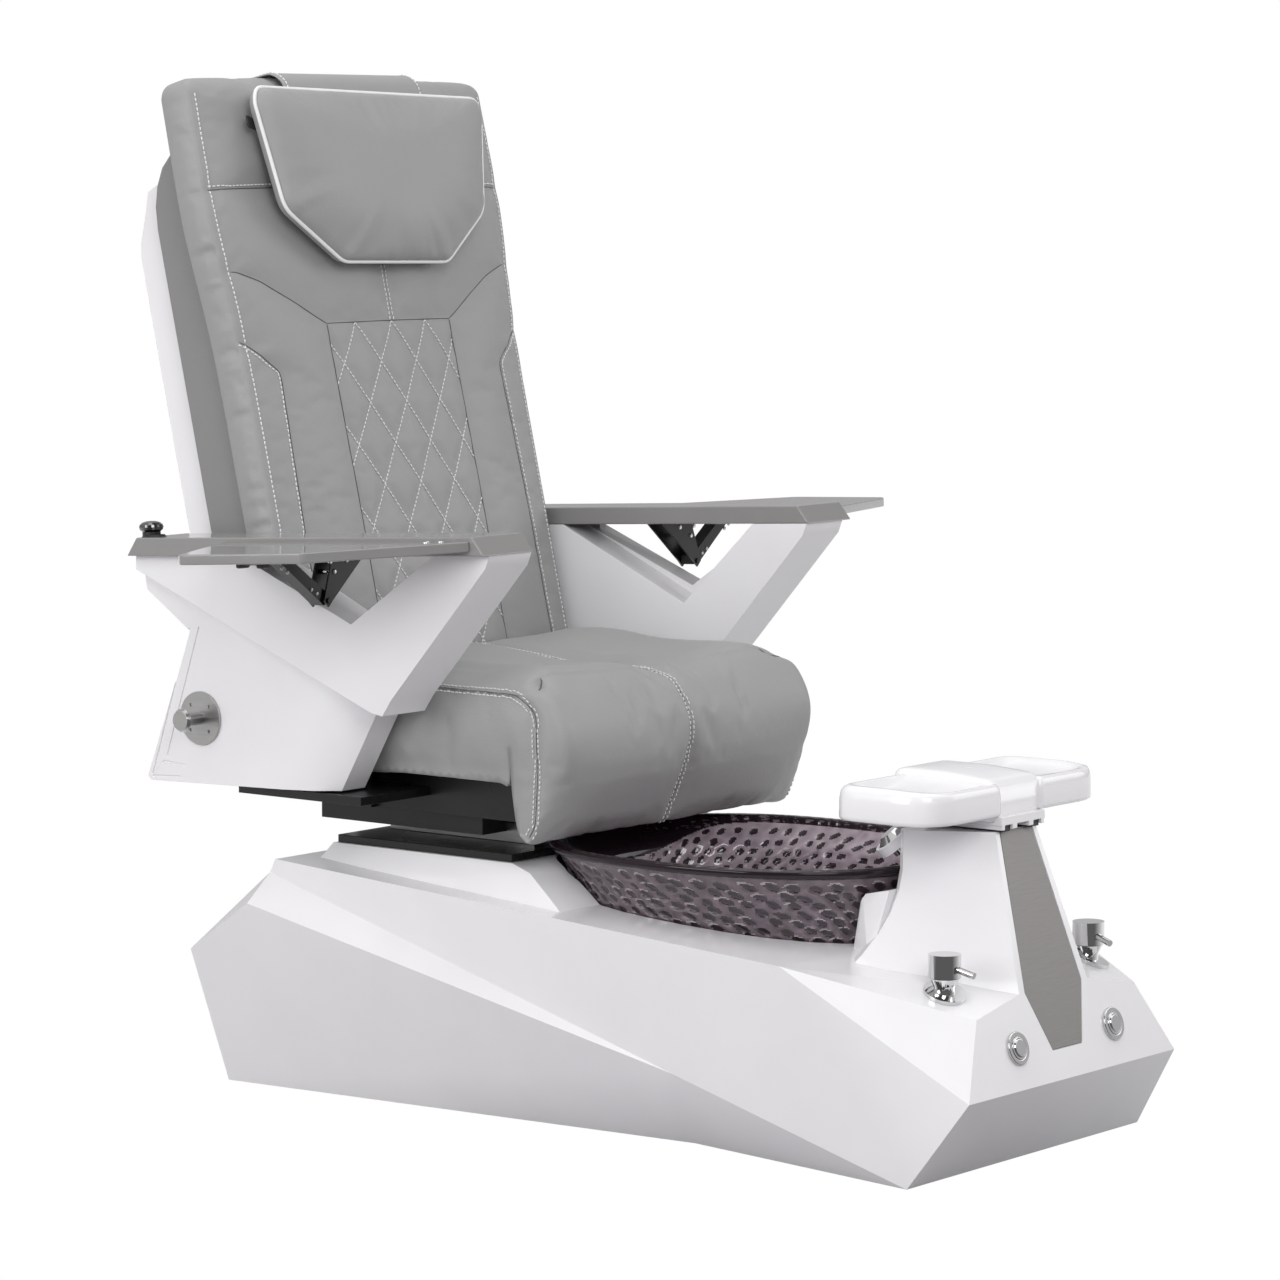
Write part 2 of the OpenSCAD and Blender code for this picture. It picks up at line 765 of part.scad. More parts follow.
module slide_rails() {
    color("gray")
        for (s = sides)
            translate([s * slide_rail_x - 12, plate_front_y + 35, plate_z + plate_t])
                cube([24, deck_rear_y - 60 - plate_front_y - 35, slide_rail_h]);
}

module seat_frame() {
    w = box_wall;
    len = box_rear_y - box_front_y;
    color([0.05, 0.05, 0.05])
        difference() {
            union() {
                translate([-box_half, box_front_y, box_z]) cube([2 * box_half, len, seat_side_z - box_z]);
                translate([-housing_half, housing_front_y, housing_z])
                    cube([2 * housing_half, box_rear_y - housing_front_y, box_z - housing_z]);
                for (s = sides) {
                    translate([s * (box_half + 5) - (s < 0 ? 5 : 5), pivot_y - 28, box_z])
                        cube([10, 56, pivot_z - box_z]);
                    translate([s * (box_half + 5) - 5, pivot_y, pivot_z]) rotate([0, 90, 0])
                        cylinder(r = 28, h = 10);
                    arm_foot(s);
                }
            }
            translate([w - box_half, box_front_y + w, box_z + w])
                cube([2 * (box_half - w), len - 2 * w, seat_side_z - box_z]);
            translate([w - housing_half, housing_front_y + w, housing_z - 1])
                cube([2 * (housing_half - w), box_rear_y - housing_front_y - 2 * w, box_z - housing_z + 1]);
            for (s = sides)
                translate([s * slide_rail_x - 12 - gap, box_front_y - 200, housing_z - 1])
                    cube([24 + 2 * gap, len + 400, 14]);
            translate([-box_half - 30, pivot_y, pivot_z]) rotate([0, 90, 0])
                cylinder(r = pin_r + 0.02, h = 2 * box_half + 60);
        }
    color([0.05, 0.05, 0.05])
        for (s = sides)
            translate([s * 24 - 4, actuator_y - 12, box_z + w]) cube([8, 24, lever_z + 12 - box_z - w]);
    color("silver")
        translate([-28, actuator_y, lever_z]) rotate([0, 90, 0]) cylinder(r = 6, h = 56);
}

// bracket that carries an arm panel beside the seat box
module arm_foot(s) {
    translate([s > 0 ? box_half - 1 : -arm_in - 66, 200, box_z + 25]) cube([arm_in + 67 - box_half, 230, 12]);
}

module seat_pan() {
    color("burlywood")
        difference() {
            translate([-box_half + 2, box_front_y + 2, seat_side_z]) cube([2 * box_half - 4, 270, 12]);
            translate([-60, box_front_y + 30, seat_side_z - 1]) cube([120, 200, 20]);
        }
}

// one Y-Z section of the seat cushion; e runs from 0 in the middle to 1 at the side seams
function seat_section(x) = let (
    e = abs(x) / (seat_w / 2),
    top = seat_top_z - 24,
    g = e < 0.9 ? 1 : pow(max(0, 1 - pow((e - 0.9) / 0.1, 2.4)), 0.5),
    f = apron_side_y - (apron_bulge - (e < 0.02 ? 6 : 0)) * g,
    c = e < 0.75 ? 11 + 12 * pow(e / 0.75, 2) : 23 * (1 - pow((e - 0.75) / 0.25, 2)),
    r = c * 0.5 + (e < 0.75 ? 13 : 13 * (1 - pow((e - 0.75) / 0.25, 2))),
    back = box_front_y - 4,
    under = e > under_e + 0.001 ? 0 : 12)
    [[x, 298, pan_z + 50], [x, 284, pan_z + under],
     [x, back, pan_z + under], [x, back - 4, top - 126], [x, back - 14, apron_z + 20],
     [x, back - 26, apron_z + 2], [x, f + (-28 - f) * 0.9, apron_z + 2 - 3 * g],
     [x, f + 6 + 22 * g, apron_z + 44 - 20 * (1 - g)], [x, f + 2 + 9 * g, top - 122], [x, f, top - 86],
     [x, f, top - 60 + 4 * g], [x, f + 6 + 6 * g, top - 31 + 3 * g], [x, f + 20 + 14 * g, top - 9 + 6 * g],
     [x, f + 44 + 22 * g, top - 1 + c * 0.7], [x, f + 92, top + c], [x, 120, top + c * 0.8], [x, 230, top + r],
     [x, 336, top + r - 2], [x, 350, top + r - 14], [x, 354, top - 20], [x, 338, top - 52]];

module seat_cushion() {
    h = seat_w / 2;
    color("darkgray")
        loft([for (t = [1, 0.985, 0.955, 0.91, under_e, 0.5, 0.2, 0.035, 0, -0.035, -0.2, -0.5, -under_e, -0.91, -0.955, -0.985, -1])
            seat_section(t * h)]);
}

module recline_pins() {
    color("silver")
        for (s = sides)
            translate([s > 0 ? box_half - 30 : -box_half - 14, pivot_y, pivot_z]) rotate([0, 90, 0])
                cylinder(r = pin_r, h = 44);
}

module actuator_body() {
    color("dimgray")
        translate([0, actuator_y, lever_z])
            difference() {
                union() {
                    rotate([0, 90, 0]) translate([0, 0, -19.5]) cylinder(r = 11, h = 39);
                    rotate([-90, 0, 0]) cylinder(r = 15, h = 180);
                }
                rotate([-90, 0, 0]) translate([0, 0, 20]) cylinder(r = 8 + fit, h = 170);
                rotate([0, 90, 0]) translate([0, 0, -30]) cylinder(r = 6 + fit, h = 60);
            }
}

module actuator_rod() {
    l = pivot_y - actuator_y;
    color("silver")
        translate([0, actuator_y, lever_z])
            difference() {
                union() {
                    rotate([-90, 0, 0]) translate([0, 0, 70]) cylinder(r = 8, h = l - 70 - 20);
                    translate([8, l - 20, -8]) cube([8, 20, 16]);
                    translate([-6, l - 28, -6]) cube([22, 12, 12]);
                    translate([8, l, 0]) rotate([0, 90, 0]) cylinder(r = 16, h = 8);
                }
                translate([-20, l, 0]) rotate([0, 90, 0]) cylinder(r = 10, h = 60);
            }
}

// ---------- arms ----------

function arm_top(y) = board_z + (board_y - y) * tan(board_tilt) - board_t / cos(board_tilt);

// side plate below, and the raised V that carries the board; s is 1 for the left arm
module arm_panel(s) {
    face = panel_out - panel_step;
    color("white")
        mirror([s > 0 ? 0 : 1, 0, 0]) {
            difference() {
                union() {
                    yz_prism(raised_v(0), arm_in, arm_in + 50);
                    yz_prism(raised_v(22), arm_in + 50, panel_out);
                }
                yz_prism([[560, 738], [230, 606], [170, 592], [148, 604], [152, 640], [176, 652]],
                    arm_in + 8, panel_out - 8);
            }
            difference() {
                yz_prism([[603, 757], [596, 719], [513, 664], [598, 452], [592, 446], [251, 455],
                    [182, 574], [166, 584]], arm_in, face);
                yz_prism([[500, 662], [575, 467], [340, 470], [262, 600], [400, 650]], arm_in + 8, face - 8);
                translate([arm_in - 1, 199.7, box_z - 10]) cube([67.3, 230.6, 47]);
                along_edge([251, 455], [182, 574])
                    linear_extrude(400, center = true)
                        polygon([[face + 0.5, 80], [face - 8, 29], [face - 28, -2], [face + 20, -2], [face + 20, 80]]);
                for (g = [[[495, 671], [559, 484]], [[514, 668], [588, 455]], [[534, 455], [588, 452]], [[525, 472], [567, 475]]])
                    groove(face, g[0], g[1]);
            }
        }
}

// raised V of the arm in Y and Z; lift raises the notch's corner
function raised_v(lift) = [
    [604, arm_top(604)], [604, 748], [160, 574], [140, 571], [124, 594], [-45, 783],
    [-52, arm_top(-52)], [46, arm_top(46)], [174 + lift, 672 + lift], [404, arm_top(404)]];

// local Z runs along the line from p to q in the Y-Z plane, local Y points up the plate
module along_edge(p, q) {
    translate([0, p[0], p[1]]) rotate([atan2(p[0] - q[0], q[1] - p[1]), 0, 0]) children();
}

module groove(x, p, q) {
    l = norm(q - p);
    along_edge(p, q) translate([x - 1.5, -1.5, 0]) cube([5, 3, l]);
}

module arm_panel_right() arm_panel(-1);
module arm_panel_left() arm_panel(1);

module arm_board(s) {
    color([0.55, 0.55, 0.55])
        on_board()
            translate([s > 0 ? arm_in : -arm_out, 0, 0])
                rotate([90, 0, 90]) linear_extrude(arm_out - arm_in)
                    polygon([[8, -board_t], [-12, 0], [20 - board_len, 0], [-board_len, -board_t]]);
}

module arm_board_right() arm_board(-1);
module arm_board_left() arm_board(1);

// fixed half of the folding tray bracket, under the arm board
module tray_bracket(s) {
    color([0.08, 0.08, 0.08])
        on_board()
            difference() {
                for (k = sides)
                    translate([0, tray_pin_y + (k > 0 ? 12.5 : -15.5), 0])
                        rotate([90, 0, 0]) translate([0, 0, -3])
                            linear_extrude(3)
                                polygon([
                                    [s * tray_pin_x + 9, tray_pin_z], [s * tray_pin_x, tray_pin_z - 9],
                                    [s * tray_pin_x - 9, tray_pin_z],
                                    [s > 0 ? arm_in + 20 : -arm_out + 16, -board_t],
                                    [s > 0 ? arm_out - 16 : -arm_in - 20, -board_t]]);
                translate([s * tray_pin_x, tray_pin_y + 60, tray_pin_z]) rotate([90, 0, 0])
                    cylinder(r = 4.02, h = 120);
            }
    color("silver")
        on_board()
            translate([s * tray_pin_x, tray_pin_y + 18, tray_pin_z]) rotate([90, 0, 0])
                cylinder(r = 4, h = 36);
}

module tray_bracket_right() tray_bracket(-1);
module tray_bracket_left() tray_bracket(1);

// swinging half of the bracket, carrying the tray
module tray_brace(s) {
    under = -tray_drop - tray_t;
    color([0.08, 0.08, 0.08])
        on_board()
            difference() {
                translate([0, tray_pin_y + 11, 0]) rotate([90, 0, 0]) linear_extrude(22)
                    polygon([
                        [s * (tray_pin_x - 6), tray_pin_z - 5], [s * (tray_pin_x + 6), tray_pin_z - 6],
                        [s * (tray_pin_x + 96), under - 4], [s * (tray_pin_x + 150), under - 4],
                        [s * (tray_pin_x + 150), under], [s * (tray_pin_x + 76), under],
                        [s * (tray_pin_x - 6), tray_pin_z + 8]]);
                translate([s * tray_pin_x, tray_pin_y + 60, tray_pin_z]) rotate([90, 0, 0])
                    cylinder(r = 4 + fit, h = 120);
            }
}

module tray_brace_right() tray_brace(-1);
module tray_brace_left() tray_brace(1);

module side_tray(s) {
    x0 = arm_out + 1;
    color([0.55, 0.55, 0.55])
        on_board()
            translate([0, 0, -tray_drop - tray_t])
                linear_extrude(tray_t)
                    polygon([
                        [s * x0, -184], [s * (tray_out - 6), -350], [s * tray_out, -358],
                        [s * (tray_out - 33), -543], [s * (tray_out - 40), -550], [s * x0, -632]]);
}

module side_tray_right() side_tray(-1);
module side_tray_left() side_tray(1);

module bag_hook() {
    x = panel_out - panel_step;
    color("silver")
        translate([-x, hook_y, hook_z]) rotate([0, -90, 0]) {
            difference() {
                cylinder(r = 38, h = 4);
                for (a = [45:90:315])
                    rotate([0, 0, a]) translate([25, 0, -1]) cylinder(r = 2.5, h = 6);
            }
            translate([0, 0, 4]) cylinder(r = 9, h = 30);
            translate([0, 0, 34]) cylinder(r1 = 9, r2 = 17, h = 5);
            translate([0, 0, 39]) cylinder(r1 = 17, r2 = 14, h = 5);
        }
}

module knob_base() {
    color([0.2, 0.2, 0.2])
        on_board() translate([-knob_x, knob_y, 0]) {
            translate([0, -5, 0]) cylinder(r1 = 18, r2 = 15, h = 3);
            cylinder(r = 13, h = 7);
            cylinder(r = 4, h = 15);
        }
}

module speed_knob() {
    color("silver")
        on_board() translate([-knob_x, knob_y, 7 + gap])
            difference() {
                rotate_extrude()
                    polygon([[0, 0], [13, 0], [16.6, 3], [17.5, 6.5], [16.4, 10], [12.8, 13], [7, 14.8], [0, 15.3]]);
                translate([0, 0, -1]) cylinder(r = 4 + fit, h = 9.7);
            }
}

// ---------- back ----------

module back_frame() {
    v0 = cushion_rear_v + gap;
    color("dimgray") {
        on_back()
            difference() {
                union() {
                    for (s = sides)
                        translate([s > 0 ? frame_half - tube : -frame_half, v0, 90]) cube([tube, tube, 780]);
                    for (u = [120, 845])
                        translate([-frame_half, v0, u]) cube([2 * frame_half, tube, tube]);
                    for (s = sides) {
                        translate([s * 216 - 4, v0, 84]) cube([8, 116 - v0, 30]);
                        hull_of([for (x = [s * 216 - 4, s * 216 + 4]) for (q = [[-18, -6], [18, -6], [20, 90], [116, 90]])
                            [x, q[0], q[1]]]);
                        translate([s > 0 ? 216 : -frame_half, v0, 90]) cube([frame_half - 216, tube, 24]);
                    }
                    translate([-216, 0, 0]) rotate([0, 90, 0]) cylinder(r = 18, h = 432);
                }
                translate([-300, 0, 0]) rotate([0, 90, 0]) cylinder(r = pin_r + fit, h = 600);
            }
        difference() {
            translate([-5, pivot_y - 12, lever_z]) cube([10, 24, lever_r - 10]);
            translate([-6, pivot_y, pivot_z]) rotate([0, 90, 0]) cylinder(r = 17.9, h = 12);
        }
        translate([-5, pivot_y, lever_z]) rotate([0, 90, 0]) cylinder(r = 12, h = 10);
        translate([-5, pivot_y, lever_z]) rotate([0, 90, 0]) cylinder(r = 5.5, h = 26);
    }
}

module back_shell() {
    v = bolster_v;
    r = shell_v;
    outer = [[v, 70], [r - 22, 72], [r, 110], [r, 640], [r - 5, 722], [r - 16, 776], [r - 36, 818], [v + 22, 846],
        [v, 852]];
    color("white")
        on_back()
            difference() {
                yz_prism(outer, -shell_half, shell_half);
                yz_prism([
                    [v - 1, 70 + shell_t], [r - 24, 72 + shell_t], [r - shell_t, 111], [r - shell_t, 640],
                    [r - 5 - shell_t, 721], [r - 16 - shell_t, 773], [r - 38 - shell_t / 2, 813],
                    [v + 21, 846 - shell_t], [v - 1, 852 - shell_t]],
                    shell_t - shell_half, shell_half - shell_t);
                for (s = sides)
                    translate([s * shell_half, r + 6, 400]) rotate([0, 0, 45])
                        cube([26, 26, 1200], center = true);
                for (u = [350, 560, 770])
                    translate([-400, r - 1.5, u]) cube([800, 10, 4]);
            }
}

module back_bolster() {
    v0 = cushion_rear_v + gap;
    v1 = bolster_v;
    h = bolster_half;
    color("gray")
        on_back()
            difference() {
                yz_prism([
                    [v0, 76], [v1, 76], [v1, 784], [v1 - 4, 818], [v1 - 14, 846],
                    [v1 - 30, 870], [v0 + 30, 888], [v0, 896]], -h, h);
                translate([-frame_half, v0 - 1, 0]) cube([2 * frame_half, 200, rail_u1 + 15.6]);
                // pocket for the frame's top bar
                translate([-frame_half, v0 - 1, 830]) cube([2 * frame_half, tube + gap + 1, 40.3]);
            }
}

// one depth-width section of the back cushion at height u; the front bulges between the seams
function back_section(u) = let (
    shoulder = exp(-pow((u - 800) / 150, 2)),
    h = back_low_half + (u > 800 ? back_half - 4 - back_low_half : (back_half - back_low_half) * shoulder),
    top = u > 960 ? 1 : 0,
    foot = u < 100 ? 1 : u < 116 ? 0.3 : 0,
    r = cushion_rear_v - 10 * (top + foot),
    f = 27 + 14 * (top + foot),
    crown = 27 * (1 - top) * (1 - foot))
    [[-h + 4 + 14 * (top + foot), r, u], [-h, (r + f) / 2 + 6, u], [-h + 8, f, u], [-0.8 * h, f - 0.45 * crown, u],
     [-0.46 * h, f - 0.75 * crown + 4, u], [-0.44 * h, f - 0.75 * crown + 7, u], [-0.41 * h, f - 0.85 * crown + 1, u],
     [-0.2 * h, f - crown, u], [0, f - crown + 2, u], [0.2 * h, f - crown, u],
     [0.41 * h, f - 0.85 * crown + 1, u], [0.44 * h, f - 0.75 * crown + 7, u], [0.46 * h, f - 0.75 * crown + 4, u],
     [0.8 * h, f - 0.45 * crown, u], [h - 8, f, u], [h, (r + f) / 2 + 6, u], [h - 4 - 14 * (top + foot), r, u]];

module back_cushion() {
    color("darkgray")
        on_back()
            difference() {
                loft([for (u = [92, 108, 150, 240, 330, 420, 500, 560, 612, 618, 624, 690, 740, 800, 850, 900, 955, back_top_u])
                    back_section(u)]);
                // channel for the massage rollers
                translate([-92, cushion_rear_v - 16, 170]) cube([184, 40, 660]);
            }
}

module pillow_flap() {
    h = 150;
    t = 3;
    color("gray")
        on_back()
            yz_prism([
                [-1, 880], [-1 - t, 880], [-1 - t, 957], [30, back_top_u + gap + t],
                [80, back_top_u + gap + t], [cushion_rear_v + gap + t, 960],
                [cushion_rear_v + gap + t, 900], [cushion_rear_v + gap, 900],
                [cushion_rear_v + gap, 958], [79, back_top_u + gap], [31, back_top_u + gap], [-1, 955.6]], -h, h);
}

function pillow_outline(k) = [
    [-0.96 * 242 * k, 934 - 90 + 90 * k], [0.96 * 242 * k, 934 - 90 + 90 * k], [242 * k, 918 - 70 + 70 * k],
    [214 * k, 764], [112 * k, 700 + 60 - 60 * k], [-112 * k, 700 + 60 - 60 * k], [-214 * k, 764],
    [-242 * k, 918 - 70 + 70 * k]];

function pillow_ring(k, v) = [for (q = pillow_outline(k)) [q[0], v, q[1]]];

module head_pillow() {
    color("darkgray")
        on_back()
            loft([
                pillow_ring(0.55, -50), pillow_ring(0.82, -46), pillow_ring(0.96, -36), pillow_ring(1, -26),
                pillow_ring(0.98, -16), pillow_ring(0.9, -4)]);
}

// ---------- massage mechanism inside the back ----------

module massage_rails() {
    v0 = cushion_rear_v + gap + tube;
    color("gray")
        on_back() {
            for (s = sides)
                difference() {
                    translate([s * 120 - 10, v0, rail_u0 - 25]) cube([20, 24, rail_u1 - rail_u0 + 40]);
                    translate([s * 120 - (s > 0 ? 11 : 5), v0 + 6, rail_u0 - 30]) cube([16, 12, rail_u1 - rail_u0 + 60]);
                }
            for (u = [rail_u0 - 25, rail_u1])
                difference() {
                    translate([-110, v0 + gap, u]) cube([220, 56, 12]);
                    translate([0, screw_v, u - 1]) cylinder(r = screw_r + fit - 2, h = 14);
                }
        }
}

module lead_screw() {
    color("silver")
        on_back()
            translate([0, screw_v, rail_u0 - 26]) {
                cylinder(r = screw_r - 2, h = rail_u1 - rail_u0 + 40);
                translate([0, 0, 14]) cylinder(r = screw_r, h = rail_u1 - rail_u0 + 10);
            }
}

module massage_carriage() {
    v0 = cushion_rear_v + gap + tube;
    color("dimgray")
        on_back()
            difference() {
                union() {
                    translate([-104, v0 + 26, carriage_u - 50]) cube([208, 26, 100]);
                    for (s = sides)
                        translate([s * 111.5 - 7.5, v0 + 6.5, carriage_u - 40]) cube([15, 11, 80]);
                    for (s = sides)
                        translate([s > 0 ? 96 : -104, v0 + 6.5, carriage_u - 40]) cube([8, 24, 80]);
                    for (s = sides)
                        translate([s * 70 - 4, cushion_rear_v + 10, carriage_u - 12]) cube([8, 44, 24]);
                }
                translate([0, screw_v, carriage_u - 60]) cylinder(r = screw_r + fit, h = 130);
                translate([-90, cushion_rear_v + 22, carriage_u]) rotate([0, 90, 0])
                    cylinder(r = 5.02, h = 180);
            }
}

// rocks on the carriage to knead
module roller_arms() {
    v = cushion_rear_v + 22;
    color("silver")
        on_back() {
            translate([-65, v, carriage_u]) rotate([0, 90, 0]) cylinder(r = 9, h = 130);
            for (s = sides)
                translate([s * 45 - 5, v - 7, carriage_u - 55]) cube([10, 14, 110]);
            for (s = sides)
                for (k = sides)
                    translate([s * 45 - 15, v - 1, carriage_u + k * 52]) rotate([0, 90, 0])
                        cylinder(r = 5, h = 30);
            translate([-74, v, carriage_u]) rotate([0, 90, 0]) cylinder(r = 5 - fit, h = 148);
        }
}

module massage_rollers(k) {
    v = cushion_rear_v + 21;
    color("black")
        on_back()
            for (s = sides)
                for (x = [s * 45 - 14.5, s * 45 + 5.5])
                    translate([x, v, carriage_u + k * 52]) rotate([0, 90, 0])
                        ring_tube(20, 5 + fit, 9);
}

module massage_rollers_upper() massage_rollers(1);
module massage_rollers_lower() massage_rollers(-1);

// ---------- placement ----------

base_shell();
accent_panel();
floor_frame();
levelling_feet();
foot_bowl();
bowl_cradle();
drain_strainer();
drain_stopper();
drain_pipe();
jet_motor();
jet_impeller();
jet_cover();
mixer_body_right();
mixer_body_left();
mixer_handle_right();
mixer_handle_left();
button_bezel_right();
button_bezel_left();
push_button_right();
push_button_left();
spray_holder();
hand_spray();
footrest_rails();
footrest_slider();
footrest_pad();
slide_plate();
slide_rails();
seat_frame();
seat_pan();
seat_cushion();
recline_pins();
actuator_body();
actuator_rod();
arm_panel_right();
arm_panel_left();
arm_board_right();
arm_board_left();
tray_bracket_right();
tray_bracket_left();
tray_brace_right();
tray_brace_left();
side_tray_right();
side_tray_left();
bag_hook();
knob_base();
speed_knob();
back_frame();
back_shell();
back_bolster();
back_cushion();
pillow_flap();
head_pillow();
massage_rails();
lead_screw();
massage_carriage();
roller_arms();
massage_rollers_upper();
massage_rollers_lower();
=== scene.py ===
import json
import math

import bmesh
import bpy
import numpy as np
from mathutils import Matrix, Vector
from mathutils.bvhtree import BVHTree
from mathutils.geometry import delaunay_2d_cdt
from mathutils.kdtree import KDTree


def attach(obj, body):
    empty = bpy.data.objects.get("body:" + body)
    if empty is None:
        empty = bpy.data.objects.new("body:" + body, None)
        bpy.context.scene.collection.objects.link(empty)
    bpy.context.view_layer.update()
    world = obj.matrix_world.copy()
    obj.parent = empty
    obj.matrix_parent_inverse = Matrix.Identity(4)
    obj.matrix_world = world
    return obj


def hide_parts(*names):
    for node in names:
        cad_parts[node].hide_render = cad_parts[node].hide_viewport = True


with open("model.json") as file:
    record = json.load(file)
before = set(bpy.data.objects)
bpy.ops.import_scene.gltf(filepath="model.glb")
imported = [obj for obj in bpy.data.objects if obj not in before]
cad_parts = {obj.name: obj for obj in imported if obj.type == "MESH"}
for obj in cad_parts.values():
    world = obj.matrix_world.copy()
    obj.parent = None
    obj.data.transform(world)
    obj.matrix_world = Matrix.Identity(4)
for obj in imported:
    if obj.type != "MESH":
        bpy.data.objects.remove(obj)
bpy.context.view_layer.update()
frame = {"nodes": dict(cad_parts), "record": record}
NODES = frame["nodes"]
SCENE = bpy.context.scene
MM = 0.001
SIDES = ((-1, "right"), (1, "left"))
SCENE.view_settings.view_transform = "Standard"


# ---------- node trees ----------

class Tree:
    """Short words for building a node tree."""

    def __init__(self, tree):
        self.tree = tree
        tree.nodes.clear()

    def add(self, kind, **values):
        """A node with its settings; names that start with in_ set an input."""
        node = self.tree.nodes.new(kind)
        for key, value in values.items():
            if key.startswith("in_"):
                node.inputs[key[3:].replace("_", " ")].default_value = value
            else:
                setattr(node, key, value)
        return node

    def link(self, out, into):
        self.tree.links.new(out, into)

    def feed(self, socket, source):
        """Gives an input another node's output, or a plain value."""
        if isinstance(source, bpy.types.NodeSocket):
            self.link(source, socket)
        else:
            socket.default_value = source

    def fed(self, kind, *sources, **values):
        """A node whose first inputs take the sources in turn."""
        node = self.add(kind, **values)
        for socket, source in zip(node.inputs, sources):
            self.feed(socket, source)
        return node

    def maths(self, operation, a, b):
        return self.fed("ShaderNodeMath", a, b, operation=operation).outputs[0]

    def sum_of(self, *parts):
        """The sum of sockets, each times its share."""
        total = None
        for socket, share in parts:
            scaled = socket if share == 1 else self.maths("MULTIPLY", socket, share)
            total = scaled if total is None else self.maths("ADD", total, scaled)
        return total

    def between(self, share, low, high):
        """A colour between two colours."""
        node = self.add("ShaderNodeMix", data_type="RGBA")
        for place, source in ((0, share), (6, low), (7, high)):
            self.feed(node.inputs[place], source)
        return node.outputs[2]

    def turned_to(self, direction, towards, start, full, most):
        """Rises from 0 to most as a direction turns towards another one."""
        lean = self.fed("ShaderNodeVectorMath", direction, towards, operation="DOT_PRODUCT")
        rise = self.fed("ShaderNodeMapRange", lean.outputs["Value"], start, full, 0.0, most)
        return rise.outputs[0]

    def texture(self, kind, place, scale, **values):
        node = self.add("ShaderNodeTex" + kind, **values)
        self.feed(node.inputs["Vector"], place)
        self.feed(node.inputs["Scale"], scale)
        return node


def new_object(name, data):
    obj = bpy.data.objects.new(name, data)
    SCENE.collection.objects.link(obj)
    return obj


# ---------- camera, floor and light ----------

CAMERA_PLACE = (-5.269, -4.152, 1.334)
CAMERA_AZIMUTH, CAMERA_PITCH = math.radians(-51.702), math.radians(5.798)
LENS, SENSOR, FAR_CLIP = 134.43, 36, 80
FLOOR_HALF, FLOOR_DROP = 30, 0.0005
WHITE, DARK_WALL = (1, 1, 1, 1), (0.09, 0.09, 0.093, 1)


def make_camera():
    data = bpy.data.cameras.new("camera")
    data.lens = LENS
    data.sensor_width = SENSOR
    data.clip_end = FAR_CLIP
    camera = new_object("camera", data)
    level = math.cos(CAMERA_PITCH)
    across, ahead = -math.sin(CAMERA_AZIMUTH) * level, math.cos(CAMERA_AZIMUTH) * level
    look = Vector((across, ahead, -math.sin(CAMERA_PITCH)))
    camera.rotation_euler = look.to_track_quat("-Z", "Y").to_euler()
    camera.location = CAMERA_PLACE
    SCENE.camera = camera


def area_light(name, place, aim, size, power):
    data = bpy.data.lights.new(name, "AREA")
    data.shape = "RECTANGLE"
    data.size, data.size_y = size
    data.energy = power
    lamp = new_object(name, data)
    lamp.location = place
    lamp.rotation_euler = (Vector(aim) - Vector(place)).to_track_quat("-Z", "Y").to_euler()


def make_world():
    """A pale room: white to the camera, with two dark zones that only bright surfaces mirror."""
    world = bpy.data.worlds.new("studio")
    world.use_nodes = True
    SCENE.world = world
    t = Tree(world.node_tree)
    rays = t.add("ShaderNodeLightPath").outputs
    direction = t.add("ShaderNodeTexCoord").outputs["Generated"]
    height = t.fed("ShaderNodeSeparateXYZ", direction).outputs["Z"]
    ramp = t.fed("ShaderNodeValToRGB", height)
    stops = ramp.color_ramp.elements
    stops[0].position = 0.0
    stops[0].color = (0.50, 0.49, 0.50, 1)
    stops[1].position = 0.75
    stops[1].color = WHITE
    stops.new(0.18).color = (0.74, 0.73, 0.75, 1)
    front = t.turned_to(direction, (-0.76, -0.63, 0.12), 0.35, 0.5, 0.95)
    high = t.turned_to(direction, (0.78, -0.07, 0.617), 0.90, 0.955, 0.8)
    dark = t.maths("MULTIPLY", t.maths("MAXIMUM", front, high), rays["Is Glossy Ray"])
    room = t.fed("ShaderNodeBackground", t.between(dark, ramp.outputs[0], DARK_WALL), 0.74)
    plain = t.fed("ShaderNodeBackground", WHITE, 1.0)
    mix = t.fed("ShaderNodeMixShader", rays["Is Camera Ray"], room.outputs[0], plain.outputs[0])
    t.fed("ShaderNodeOutputWorld", mix.outputs[0])


